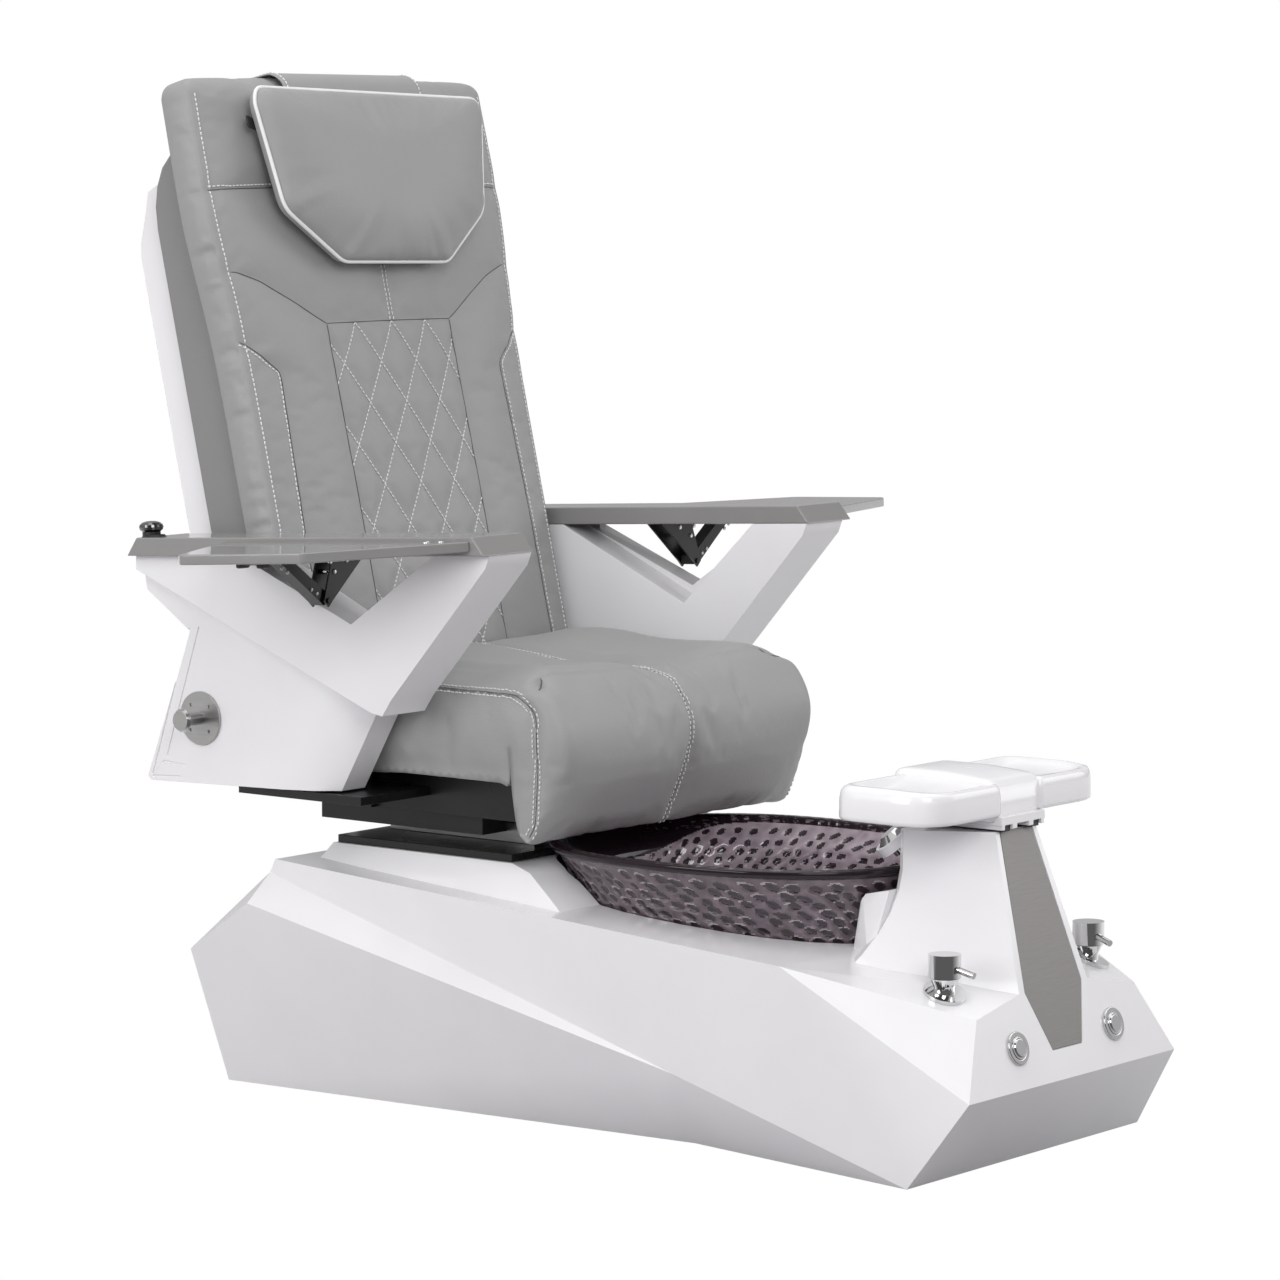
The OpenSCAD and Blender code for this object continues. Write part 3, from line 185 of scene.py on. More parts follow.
def make_floor():
    """A floor that takes the light, and shows white to the camera, to mirrors and through glass."""
    h = FLOOR_HALF
    mesh = bpy.data.meshes.new("floor")
    mesh.from_pydata([(-h, -h, 0), (h, -h, 0), (h, h, 0), (-h, h, 0)], [], [(0, 1, 2, 3)])
    floor = new_object("floor", mesh)
    floor.location = (0, 0, -FLOOR_DROP)
    mat = bpy.data.materials.new("floor")
    mat.use_nodes = True
    t = Tree(mat.node_tree)
    rays = t.add("ShaderNodeLightPath").outputs
    place = t.add("ShaderNodeNewGeometry").outputs["Position"]
    direction = t.fed("ShaderNodeVectorMath", place, operation="NORMALIZE").outputs[0]
    front = t.turned_to(direction, (-0.77, -0.638, 0), -0.2, 0.7, 0.95)
    dark = t.maths("MULTIPLY", front, rays["Is Glossy Ray"])
    plain = t.fed("ShaderNodeEmission", t.between(dark, WHITE, DARK_WALL), 1.0)
    matt = t.fed("ShaderNodeBsdfDiffuse", (0.36, 0.355, 0.365, 1))
    seen = t.maths("MAXIMUM", rays["Is Camera Ray"], rays["Is Glossy Ray"])
    shown = t.maths("MAXIMUM", seen, rays["Is Transmission Ray"])
    mix = t.fed("ShaderNodeMixShader", shown, matt.outputs[0], plain.outputs[0])
    t.fed("ShaderNodeOutputMaterial", mix.outputs[0])
    mesh.materials.append(mat)


make_camera()
make_world()
make_floor()
area_light("key", (-3.0, -3.8, 3.2), (0, 0, 0.7), (2.4, 2.4), 88)
area_light("side", (-4.4, 0.9, 1.9), (0, 0.1, 0.9), (2.6, 2.2), 78)
area_light("fill", (3.4, -3.0, 2.2), (0, 0, 0.7), (2.4, 2.4), 34)
area_light("overhead", (0, 0.2, 4.2), (0, 0, 0.5), (3.2, 3.2), 34)


# ---------- shared shader groups ----------

def new_group(name, inputs):
    """A shared group with its own inputs, which puts out a tone and a height."""
    group = bpy.data.node_groups.new(name, "ShaderNodeTree")
    for label, value in inputs.items():
        socket = group.interface.new_socket(name=label, in_out="INPUT", socket_type="NodeSocketFloat")
        socket.default_value = value
    for label in ("Tone", "Height"):
        group.interface.new_socket(name=label, in_out="OUTPUT", socket_type="NodeSocketFloat")
    t = Tree(group)
    return group, t, t.add("NodeGroupInput").outputs, t.add("NodeGroupOutput").inputs


def group_leather():
    """Pores, fine grain, long creases and soft uneven tone."""
    group, t, start, end = new_group("leather_grain", {"Grain": 620.0, "Creases": 26.0})
    place = t.add("ShaderNodeTexCoord").outputs["Object"]
    pores = t.texture("Voronoi", place, start["Grain"], feature="SMOOTH_F1").outputs["Distance"]
    fineness = t.maths("MULTIPLY", start["Grain"], 2.1)
    fine = t.texture("Noise", place, fineness, in_Detail=4.0, in_Roughness=0.6).outputs["Fac"]
    soft = t.texture("Noise", place, 4.5, in_Detail=3.0).outputs["Fac"]
    crease = t.texture("Noise", place, start["Creases"], in_Detail=2.0, in_Roughness=0.45, in_Distortion=0.6)
    grain = t.sum_of((pores, 0.7), (fine, 0.5))
    t.link(t.sum_of((grain, 1), (crease.outputs["Fac"], 1.6)), end["Height"])
    t.link(t.sum_of((soft, 0.6), (grain, 0.35)), end["Tone"])
    return group


def group_moulded():
    """The long waves and fine orange peel of a moulded or sprayed skin."""
    group, t, start, end = new_group("moulded_skin", {"Waviness": 9.0, "Peel": 260.0})
    place = t.add("ShaderNodeTexCoord").outputs["Object"]
    wave = t.texture("Noise", place, start["Waviness"], in_Detail=2.0).outputs["Fac"]
    peel = t.texture("Noise", place, start["Peel"], in_Detail=1.0).outputs["Fac"]
    t.link(t.sum_of((wave, 1), (peel, 0.12)), end["Height"])
    t.link(wave, end["Tone"])
    return group


def group_brushed():
    """Lines drawn out across the height."""
    group, t, start, end = new_group("brushed_lines", {"Fineness": 900.0})
    stretch = t.fed("ShaderNodeMapping", t.add("ShaderNodeTexCoord").outputs["Object"])
    stretch.inputs["Scale"].default_value = (0.03, 0.03, 1.0)
    lines = t.texture("Noise", stretch.outputs[0], start["Fineness"], in_Detail=3.0).outputs["Fac"]
    t.link(lines, end["Tone"])
    t.link(lines, end["Height"])
    return group


def group_hammered():
    """Uneven small dimples."""
    group, t, start, end = new_group("hammered_skin", {"Dimples": 58.0})
    place = t.add("ShaderNodeTexCoord").outputs["Object"]
    warp = t.texture("Noise", place, 22.0, in_Detail=1.0).outputs["Color"]
    push = t.fed("ShaderNodeVectorMath", warp, operation="SCALE", in_Scale=0.018).outputs[0]
    moved = t.fed("ShaderNodeVectorMath", place, push, operation="ADD").outputs[0]
    cells = t.texture("Voronoi", moved, start["Dimples"], feature="SMOOTH_F1", in_Smoothness=0.35)
    t.link(cells.outputs["Distance"], end["Height"])
    t.link(cells.outputs["Distance"], end["Tone"])
    return group


# how strongly and how deep the shared grain stands out, and the roughness of the polished glass
GLASS_BUMP, GLASS_ROUGH = (0.35, 0.002), (0.04, 0.08)
SKIN_BUMP, PLAIN_BUMP = (0.05, 0.001), (0.1, 0.001)

LEATHER = group_leather()
MOULDED = group_moulded()
BRUSHED = group_brushed()
HAMMERED = group_hammered()


# ---------- materials ----------

MATS = {}
METAL = {"Metallic": 1.0}


def material(name, group, low, high, bump, rough, settings=None, group_inputs=None):
    """Principled material whose colour, roughness and bump follow one shared group."""
    mat = bpy.data.materials.new(name)
    mat.use_nodes = True
    t = Tree(mat.node_tree)
    body = t.add("ShaderNodeBsdfPrincipled")
    skin = t.add("ShaderNodeGroup", node_tree=group)
    for key, value in (group_inputs or {}).items():
        skin.inputs[key].default_value = value
    tone = skin.outputs["Tone"]
    t.link(t.between(tone, (*low, 1), (*high, 1)), body.inputs["Base Color"])
    t.link(t.fed("ShaderNodeMapRange", tone, 0.0, 1.0, *rough).outputs[0], body.inputs["Roughness"])
    if bump:
        relief = t.add("ShaderNodeBump", in_Strength=bump[0], in_Distance=bump[1])
        t.link(skin.outputs["Height"], relief.inputs["Height"])
        t.link(relief.outputs[0], body.inputs["Normal"])
    for key, value in (settings or {}).items():
        body.inputs[key].default_value = value
    t.fed("ShaderNodeOutputMaterial", body.outputs[0])
    MATS[name] = mat


def grey(v, warm=0.0):
    return (v * (1 + warm), v, v * (1 - warm))


def coated(weight, rough, **settings):
    return {"Coat Weight": weight, "Coat Roughness": rough, **settings}


def bowl_material(name, low, high, clear):
    """Tinted hammered glass; clear is the share of light that passes."""
    material(name, HAMMERED, low, high, GLASS_BUMP, GLASS_ROUGH,
             {"Transmission Weight": clear, "IOR": 1.5, **coated(0.6, 0.03)})


material("white_shell", MOULDED, (0.80, 0.79, 0.81), (0.86, 0.85, 0.865), (0.05, 0.002), (0.16, 0.24),
         coated(0.35, 0.08))
material("board", MOULDED, grey(0.235, 0.015), grey(0.27, 0.015), (0.03, 0.001), (0.10, 0.17),
         coated(0.4, 0.05))
material("accent", BRUSHED, grey(0.20, 0.04), grey(0.27, 0.04), (0.03, 0.0004), (0.38, 0.46),
         {"Metallic": 0.35})
material("black_metal", MOULDED, grey(0.006), grey(0.012), SKIN_BUMP, (0.22, 0.34))
material("black_plastic", MOULDED, grey(0.012), grey(0.02), PLAIN_BUMP, (0.4, 0.5))
material("dark_plastic", MOULDED, grey(0.05), grey(0.07), PLAIN_BUMP, (0.5, 0.65))
material("rubber_feet", MOULDED, grey(0.02), grey(0.03), PLAIN_BUMP, (0.7, 0.85))
material("rubber_rollers", MOULDED, grey(0.03), grey(0.045), PLAIN_BUMP, (0.6, 0.75))
material("chrome", MOULDED, grey(0.66), grey(0.74), None, (0.05, 0.09), METAL)
material("dark_chrome", MOULDED, grey(0.16), grey(0.20), None, (0.10, 0.16), METAL)
material("steel", BRUSHED, grey(0.42, 0.01), grey(0.55, 0.01), (0.05, 0.0004), (0.25, 0.38), METAL)
material("plywood", BRUSHED, (0.36, 0.24, 0.13), (0.52, 0.38, 0.22), PLAIN_BUMP, (0.6, 0.7), None,
         {"Fineness": 120.0})
material("leather", LEATHER, grey(0.285), grey(0.345), (0.28, 0.0011), (0.42, 0.56),
         {"Sheen Weight": 0.08, "Sheen Roughness": 0.5})
material("leather_dark", LEATHER, grey(0.21), grey(0.26), (0.25, 0.001), (0.46, 0.58))
# painted shade: the near-black colour of the tubes that stand in for the shade in the seams' grooves
material("leather_seam_shadow", LEATHER, grey(0.075), grey(0.10), (0.2, 0.001), (0.55, 0.65))
material("thread", LEATHER, grey(0.70), grey(0.82), (0.3, 0.0003), (0.6, 0.7))
material("piping", LEATHER, grey(0.78), grey(0.86), (0.15, 0.0004), (0.4, 0.5))
# the glass's own colour, also painted as glints on the flute crests of the inner rim
bowl_material("bowl_glass", (0.10, 0.072, 0.088), (0.22, 0.17, 0.20), 0.3)
# painted shade: a dark copy of the glass for the deep middles of the hammered pits
bowl_material("bowl_pit_shade", (0.02, 0.013, 0.017), (0.05, 0.036, 0.043), 0.2)
# painted highlight: a pale copy of the glass for the glints above the pits
bowl_material("bowl_glint", (0.30, 0.25, 0.28), (0.50, 0.44, 0.47), 0.2)
# painted light: a lighter copy of the glass for the lit inner wall
bowl_material("bowl_inside_lit", (0.30, 0.235, 0.275), (0.55, 0.46, 0.51), 0.25)
# the lip's own near black, also used for the crescent painted as a dark reflection on the inner wall
material("bowl_lip_and_reflection", MOULDED, (0.014, 0.008, 0.012), (0.022, 0.014, 0.018), SKIN_BUMP, (0.05, 0.08),
         {"IOR": 1.5, "Specular IOR Level": 0.3, **coated(0.1, 0.03)})

for subpart in frame["record"]["subparts"]:
    carried = NODES[subpart["node"]].data.materials
    carried.clear()
    carried.append(MATS[subpart["material_slot"]])


# ---------- lines and outlines ----------

def smooth_line(points, per=8, closed=False):
    """Catmull-Rom curve through points, as an array."""
    p = np.array(points, float)
    n = len(p)
    out = []
    for i in range(n if closed else n - 1):
        if closed:
            a, b, c, d = p[(i - 1) % n], p[i], p[(i + 1) % n], p[(i + 2) % n]
        else:
            a, b, c, d = p[max(i - 1, 0)], p[i], p[i + 1], p[min(i + 2, n - 1)]
        bend, twist = 2 * a - 5 * b + 4 * c - d, 3 * b - a - 3 * c + d
        for t in np.arange(per) / per:
            out.append(0.5 * ((2 * b) + (c - a) * t + bend * t * t + twist * t ** 3))
    if not closed:
        out.append(p[-1])
    return np.array(out)


def way_along(points):
    """Distance along a line at each of its points."""
    return np.r_[0, np.cumsum(np.linalg.norm(np.diff(points, axis=0), axis=1))]


def even_line(points, step, closed=False):
    """The same line with points at even spacing."""
    p = np.array(points, float)
    if closed:
        p = np.vstack([p, p[:1]])
    way = way_along(p)
    count = max(2, int(round(way[-1] / step)) + 1)
    places = np.linspace(0, way[-1], count)
    even = np.stack([np.interp(places, way, p[:, k]) for k in range(p.shape[1])], axis=1)
    return even[:-1] if closed else even


def rounded_outline(corners, radii, per=10):
    """Plan outline with each corner rounded to its radius."""
    p = [np.array(c, float) for c in corners]
    out = []
    for i, r in enumerate(radii):
        a, b, c = p[i - 1], p[i], p[(i + 1) % len(p)]
        before, after = np.linalg.norm(a - b), np.linalg.norm(c - b)
        u, v = (a - b) / before, (c - b) / after
        half = math.acos(max(-1, min(1, float(u @ v)))) / 2
        reach = min(r / math.tan(half), 0.49 * before, 0.49 * after)
        first, last = b + u * reach, b + v * reach
        for t in np.linspace(0, 1, per):
            out.append((1 - t) ** 2 * first + 2 * t * (1 - t) * b + t * t * last)
    return np.array(out)


def line_distance(px, py, line):
    """Distance of each grid point to a polyline, in the plane."""
    best = np.full(px.shape, 1e9)
    for (ax, ay), (bx, by) in zip(line[:-1], line[1:]):
        dx, dy = bx - ax, by - ay
        t = np.clip(((px - ax) * dx + (py - ay) * dy) / (dx * dx + dy * dy + 1e-12), 0, 1)
        best = np.minimum(best, np.hypot(px - ax - t * dx, py - ay - t * dy))
    return best


def hump(distance, width):
    """1 at no distance, falling off over a width."""
    return np.exp(-(distance / width) ** 2)


def point_tree(points):
    tree = KDTree(len(points))
    for i, p in enumerate(points):
        tree.insert(p, i)
    tree.balance()
    return tree


# ---------- pieces ----------

def soften(node, width):
    """Rounds the edges of a carried CAD node with modifiers, leaving its own mesh as it is."""
    obj = NODES[node]
    obj.modifiers.new("weld", "WELD").merge_threshold = 2e-5
    flat = obj.modifiers.new("flat", "DECIMATE")
    flat.decimate_type = "DISSOLVE"
    flat.angle_limit = math.radians(1.0)
    bevel = obj.modifiers.new("bevel", "BEVEL")
    bevel.width = width * MM
    bevel.segments = 3
    bevel.limit_method = "ANGLE"
    bevel.angle_limit = math.radians(28)
    bevel.miter_outer = "MITER_ARC"
    bevel.use_clamp_overlap = True
    obj.modifiers.new("normal", "WEIGHTED_NORMAL").weight = 80
    for face in obj.data.polygons:
        face.use_smooth = True


def new_mesh(name, verts, faces):
    mesh = bpy.data.meshes.new(name)
    mesh.from_pydata([tuple(v) for v in verts], [], [tuple(f) for f in faces])
    mesh.update()
    return mesh


def piece(name, verts, faces, body, mat, replaces=None, smooth=True):
    """A finished piece on its body, which may stand for a CAD node."""
    mesh = new_mesh(name, verts, faces)
    obj = new_object(name, mesh)
    mesh.materials.append(MATS[mat])
    for face in mesh.polygons:
        face.use_smooth = smooth
    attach(obj, body)
    if replaces:
        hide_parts(replaces)
    return obj


def fix_normals(obj):
    """Turns all faces of a piece outwards."""
    bm = bmesh.new()
    bm.from_mesh(obj.data)
    bmesh.ops.recalc_face_normals(bm, faces=bm.faces)
    bm.to_mesh(obj.data)
    bm.free()
    obj.data.update()


def ring_faces(rings, around, caps=True):
    """Faces over rings of equal point count, with both ends closed by one face each."""
    faces = []
    for k in range(rings - 1):
        for i in range(around):
            j = (i + 1) % around
            faces.append((k * around + i, k * around + j, (k + 1) * around + j, (k + 1) * around + i))
    if caps:
        faces.append(tuple(range(around - 1, -1, -1)))
        faces.append(tuple((rings - 1) * around + i for i in range(around)))
    return faces


def shifted(faces, base):
    return [tuple(base + i for i in face) for face in faces]


def circle(centre, side, up, radius, count, flat=1.0):
    """Points round a centre, in the plane of two directions."""
    turns = [2 * math.pi * k / count for k in range(count)]
    return [centre + side * (math.cos(a) * radius) + up * (math.sin(a) * radius * flat) for a in turns]


def surface(obj):
    verts = [v.co.copy() for v in obj.data.vertices]
    return BVHTree.FromPolygons(verts, [tuple(p.vertices) for p in obj.data.polygons])


def tube(name, line, radius, body, mat, around, closed=False):
    """Round tube along a line."""
    p = np.array(line, float)
    n = len(p)
    verts = []
    up = None
    for i in range(n):
        before = p[i - 1] if closed or i else p[0]
        after = p[(i + 1) % n] if closed or i < n - 1 else p[-1]
        along = Vector(after - before).normalized()
        if up is None:
            up = along.orthogonal().normalized()
        up = (up - along * up.dot(along)).normalized()
        verts += circle(Vector(p[i]), up, along.cross(up), radius, around)
    faces = ring_faces(n, around, not closed)
    if closed:
        last = (n - 1) * around
        for k in range(around):
            m = (k + 1) % around
            faces.append((last + k, last + m, m, k))
    return piece(name, verts, faces, body, mat)


def rivets(name, body, mat, places, facing, radius, height, rim=0.0):
    """Domed rivet or screw heads on a face: places in metres, all looking along one direction."""
    verts, faces = [], []
    axis = Vector(facing).normalized()
    side = axis.orthogonal().normalized()
    other = axis.cross(side)
    profile = [(1.0, -0.4), (1.0, 0.35), (0.93, 0.62), (0.72, 0.88), (0.4, 1.0), (0.2 + rim, 1.0)]
    around = 16
    for place in places:
        faces += shifted(ring_faces(len(profile), around), len(verts))
        for r, h in profile:
            verts += circle(Vector(place) + axis * (h * height * MM), side, other, r * radius * MM, around)
    fix_normals(piece(name, verts, faces, body, mat))


# ---------- sewing ----------

# sizes in metres; a lift is in radii above the surface
STITCH_PITCH, STITCH_LENGTH, STITCH_SIDES = 0.0070, 0.0054, 5
# the thin dark tubes of painted seam shadow: spacing along the seam, sides and flatness
SHADOW_TUBE_STEP, SHADOW_TUBE_SIDES, SHADOW_TUBE_FLATNESS = 0.004, 6, 0.7
DROP_START, DROP_REACH = 0.08, 0.2


def sink(obj, line, depth, width, wide, wide_width):
    """Presses a seam into a mesh: a narrow groove and a wider soft dip along a 3-D line, in metres."""
    mesh = obj.data
    co = np.empty(len(mesh.vertices) * 3)
    no = np.empty(len(mesh.vertices) * 3)
    mesh.vertices.foreach_get("co", co)
    mesh.vertex_normals.foreach_get("vector", no)
    co, no = co.reshape(-1, 3), no.reshape(-1, 3)
    tree = point_tree(line)
    reach = 3 * (width + wide_width)
    low, high = np.min(line, axis=0) - reach, np.max(line, axis=0) + reach
    for i in np.where(np.all((co > low) & (co < high), axis=1))[0]:
        d = tree.find(co[i])[2]
        co[i] -= no[i] * (depth * hump(d, width) + wide * hump(d, wide_width))
    mesh.vertices.foreach_set("co", co.ravel())
    mesh.update()


def stitch_rows(name, body, bvh, rows, radius=0.00105, lift=0.8):
    """Sewn thread: one short raised stitch after another along each row, laid on the surface."""
    profile = ((-1, 0.4, -0.1), (-0.72, 1.0, lift), (0.72, 1.0, lift), (1, 0.4, -0.1))
    verts, faces = [], []
    for line, offset in rows:
        line = even_line(line, STITCH_PITCH)
        for start, end in zip(line[:-1], line[1:]):
            a, b = Vector(start), Vector(end)
            along = (b - a).normalized()
            hit, normal = bvh.find_nearest((a + b) / 2)[:2]
            hit, normal = bvh.find_nearest(hit + normal.cross(along).normalized() * offset)[:2]
            along = (along - normal * along.dot(normal)).normalized()
            side = normal.cross(along)
            faces += shifted(ring_faces(len(profile), STITCH_SIDES), len(verts))
            for s, wide, high in profile:
                centre = hit + along * (s * STITCH_LENGTH / 2) + normal * (high * radius)
                verts += circle(centre, side, normal, radius * wide, STITCH_SIDES)
    return piece(name, verts, faces, body, "thread")


def laid_down(bvh, line, direction):
    """Drops a line onto a surface along one direction, so that it keeps its drawing as seen along it."""
    hits = [bvh.ray_cast(Vector(p) - direction * DROP_START, direction, DROP_REACH)[0] for p in line]
    return np.array([np.array(hit) for hit in hits if hit is not None])


def seam_shadow_tubes(name, body, bvh, lines, radius, lift=0.4):
    """Painted seam shadow: a thin dark tube laid partly into the surface along each seam, standing in for the
    shade in the groove where two leather panels meet.
    """
    verts, faces = [], []
    for line in lines:
        hits = [bvh.find_nearest(Vector(p))[:2] for p in even_line(line, SHADOW_TUBE_STEP)]
        pts = np.array([hit + normal * radius * lift for hit, normal in hits])
        for _ in range(2):
            pts[1:-1] = (pts[:-2] + 2 * pts[1:-1] + pts[2:]) / 4
        last = len(pts) - 1
        faces += shifted(ring_faces(len(pts), SHADOW_TUBE_SIDES), len(verts))
        for i in range(len(pts)):
            along = Vector(pts[min(i + 1, last)] - pts[max(i - 1, 0)]).normalized()
            side = hits[i][1].cross(along).normalized()
            thin = 0.35 if i in (0, last) else 1.0
            verts += circle(Vector(pts[i]), side, along.cross(side), radius * thin, SHADOW_TUBE_SIDES, SHADOW_TUBE_FLATNESS)
    return piece(name, verts, faces, body, "leather_seam_shadow")


# ---------- padding by simulation ----------

PRESSURE, FRAMES, CLOUD_STEP = 4.0, 20, 0.004
NEIGHBOURS, NEIGHBOUR_SOFTNESS = 5, 0.002


def swollen(verts, faces, voxel, held, cap, spare):
    """Blows up a copy of a cushion as cloth, held at its seams, and moves the cushion's points with it."""
    obj = new_object("swell", new_mesh("swell", verts, faces))
    remesh = obj.modifiers.new("remesh", "REMESH")
    remesh.mode = "VOXEL"
    remesh.voxel_size = voxel
    plain = bpy.data.meshes.new_from_object(obj.evaluated_get(bpy.context.evaluated_depsgraph_get()))
    obj.modifiers.clear()
    obj.data = plain
    rest = np.array([v.co for v in plain.vertices])
    weights = held(rest)
    group = obj.vertex_groups.new(name="held")
    for i in np.where(weights > 0.02)[0]:
        group.add([int(i)], float(weights[i]), "REPLACE")
    cloth = obj.modifiers.new("cloth", "CLOTH").settings
    cloth.quality = 5
    cloth.mass = 0.35
    cloth.tension_stiffness = 12
    cloth.compression_stiffness = 12
    cloth.shear_stiffness = 4
    cloth.bending_stiffness = 0.6
    cloth.use_pressure = True
    cloth.uniform_pressure_force = PRESSURE
    cloth.shrink_min = -spare
    cloth.vertex_group_mass = "held"
    cloth.effector_weights.gravity = 0
    for frame_no in range(1, FRAMES + 1):
        SCENE.frame_set(frame_no)
    result = obj.evaluated_get(bpy.context.evaluated_depsgraph_get()).to_mesh()
    moved = np.array([v.co for v in result.vertices]) - rest
    SCENE.frame_set(1)
    bpy.data.objects.remove(obj)
    size = np.linalg.norm(moved, axis=1, keepdims=True)
    moved *= np.minimum(1, cap / np.maximum(size, 1e-9))
    tree = point_tree(rest)
    out = []
    for v in verts:
        near = tree.find_n(v, NEIGHBOURS)
        shares = np.array([1 / (d + NEIGHBOUR_SOFTNESS) ** 2 for _, _, d in near])
        move = sum(k * moved[i] for k, (_, i, _) in zip(shares, near)) / shares.sum()
        out.append(tuple(np.array(v) + move))
    return out


def line_cloud(lines):
    """Points at even spacing on all the lines, in metres."""
    return np.vstack([even_line(line, CLOUD_STEP) for line in lines])


def nearness(points, cloud, width):
    """1 for points on the cloud's lines, falling off over a width."""
    tree = point_tree(cloud)
    return np.array([hump(tree.find(p)[2], width) for p in points])


def ramp_up(value, start, length):
    """0 up to a start, then rising to 1 over a length."""
    return np.clip((value - start) / length, 0, 1)


# ---------- the back's own frame ----------

LEAN = math.radians(13.1)
COS, SIN = math.cos(LEAN), math.sin(LEAN)
PIVOT_Y, PIVOT_Z = 330, 500


def on_back(x, u, v):
    """Row-frame point in metres from width x, length u up the back and depth v, all in mm."""
    return (x * MM, (PIVOT_Y + v * COS + u * SIN) * MM, (PIVOT_Z + u * COS - v * SIN) * MM)


def off_back(points):
    """Length up the back and depth of row-frame points, all in metres."""
    y, z = points[:, 1] - PIVOT_Y * MM, points[:, 2] - PIVOT_Z * MM
    return y * SIN + z * COS, y * COS - z * SIN


# ---------- back cushion, in mm ----------

QUILT_HALF, QUILT_TOP, QUILT_LOW = 135.0, 610.0, 96
DIAMOND_HALF, DIAMOND_RISE = 77, 120
BACK_TOP, BACK_LOW, BACK_REAR = 977.0, 92.0, 84.4
TOP_ROUND, FOOT_ROUND = 24, 18
CHANNEL_HALF, CHANNEL_LOW, CHANNEL_TOP, CHANNEL_DEEP = 98, 164, 836, 16.5
FRONT_POINTS, SIDE_STEPS = 171, 15


def back_half_width(u):
    """Half width of the cushion, which widens at the shoulders."""
    shoulder = hump(u - 800, 150)
    return float(318 + 4 * shoulder if u > 800 else 303 + 19 * shoulder)


def mirrored(line):
    """A line of the front and its mirror image."""
    return [line, [(-x, u) for x, u in line]]


def back_seams():
    """Seams on the front, in x and u: plain ones, the stitched side channels, the middle and the band."""
    yoke = [(300, 692), (294, 692), (250, 676), (196, 646), (150, 618), (QUILT_HALF, QUILT_TOP)]
    panel = [(QUILT_HALF, QUILT_TOP), (QUILT_HALF, QUILT_LOW)]
    channel = [(303, 592), (290, 584), (262, 560), (244, 545), (242, 535), (246, 420), (250, 300),
               (252, QUILT_LOW)]
    plain = mirrored(yoke) + mirrored(panel) + [[(-QUILT_HALF, QUILT_TOP), (QUILT_HALF, QUILT_TOP)]]
    return plain, mirrored(channel), [(0, 946), (0, QUILT_TOP)], [(-314, 811), (314, 811)]


def quilt_lines():
    """The two crossing sets of sewn lines over the middle panel."""
    lines = []
    for k in range(-12, 13):
        for sign in (1, -1):
            drops = np.arange(0, QUILT_TOP - QUILT_LOW + 1, 2.0)
            pts = [(DIAMOND_HALF * (k + sign * t / DIAMOND_RISE), QUILT_TOP - t) for t in drops]
            pts = [p for p in pts if abs(p[0]) <= QUILT_HALF]
            if len(pts) > 3:
                lines.append(pts)
    return lines


def soft_folds(X, U, rng):
    """Shallow random swells and folds in the leather of the front."""
    fold = np.zeros(X.shape)
    for _ in range(26):
        cx, cu = rng.uniform(-300, 300), rng.uniform(130, 930)
        lean, long = rng.uniform(-0.7, 0.7), rng.uniform(40, 110)
        wide, high = rng.uniform(8, 18), rng.uniform(-0.5, 0.5)
        a = (X - cx) * math.cos(lean) + (U - cu) * math.sin(lean)
        b = -(X - cx) * math.sin(lean) + (U - cu) * math.cos(lean)
        fold += high * np.exp(-(a / long) ** 2 - (b / wide) ** 2)
    return fold


def back_levels():
    """Heights of the cushion's rings, closer together where it rounds off."""
    foot = np.linspace(BACK_LOW, BACK_LOW + 16, 5)
    top = BACK_TOP - TOP_ROUND * (1 - np.sin(np.linspace(0, math.pi / 2, 10)))
    return np.unique(np.r_[foot, np.arange(BACK_LOW + 18, BACK_TOP - 26, 3.6), top])


def back_rounding(u):
    """Half width of the ring at u, and how far the rounded top or foot draws it in, from 0 to 1."""
    top = ramp_up(u, BACK_TOP - TOP_ROUND, TOP_ROUND)
    foot = np.clip((BACK_LOW + FOOT_ROUND - u) / FOOT_ROUND, 0, 1)
    end = 1 - math.sqrt(max(0.0, 1 - max(top, foot) ** 2))
    drawn_in = 22 * (1 - math.sqrt(max(0.0, 1 - top ** 2))) + 10 * foot ** 2
    return back_half_width(u) - drawn_in, end


def back_front(us, rounding, seams, quilt, rng):
    """Width and depth of each point of the front, with its crown, grooves, quilting and folds."""
    across = np.linspace(-1, 1, FRONT_POINTS)
    e = np.abs(across)
    crown = np.interp(e, [0, 0.1, 0.25, 0.42, 0.6, 0.8, 0.92, 0.97, 1.0],
                      [1.0, 2.2, 3.2, 6.0, 9.5, 15.5, 21.0, 24.5, 28.5])
    X = np.array([across * h for h, _ in rounding])
    U = np.repeat(us[:, None], FRONT_POINTS, axis=1)
    V = np.array([crown - 5.5 * hump(u - 300, 190) * hump(e - 0.62, 0.2) + 20 * end
                  for u, (_, end) in zip(us, rounding)])
    seam = np.min([line_distance(X, U, line) for line in seams], axis=0)
    V += 1.3 * hump(seam, 3.6) + 2.0 * hump(seam, 17)
    net = np.min([line_distance(X, U, [line[0], line[-1]]) for line in quilt], axis=0)
    inside = (np.abs(X) < QUILT_HALF - 2) & (U < QUILT_TOP - 2)
    V += np.where(inside, 0.7 * hump(net, 3.0) + 2.2 * hump(net, 12) - 0.9, 0)
    return X, V + soft_folds(X, U, rng)


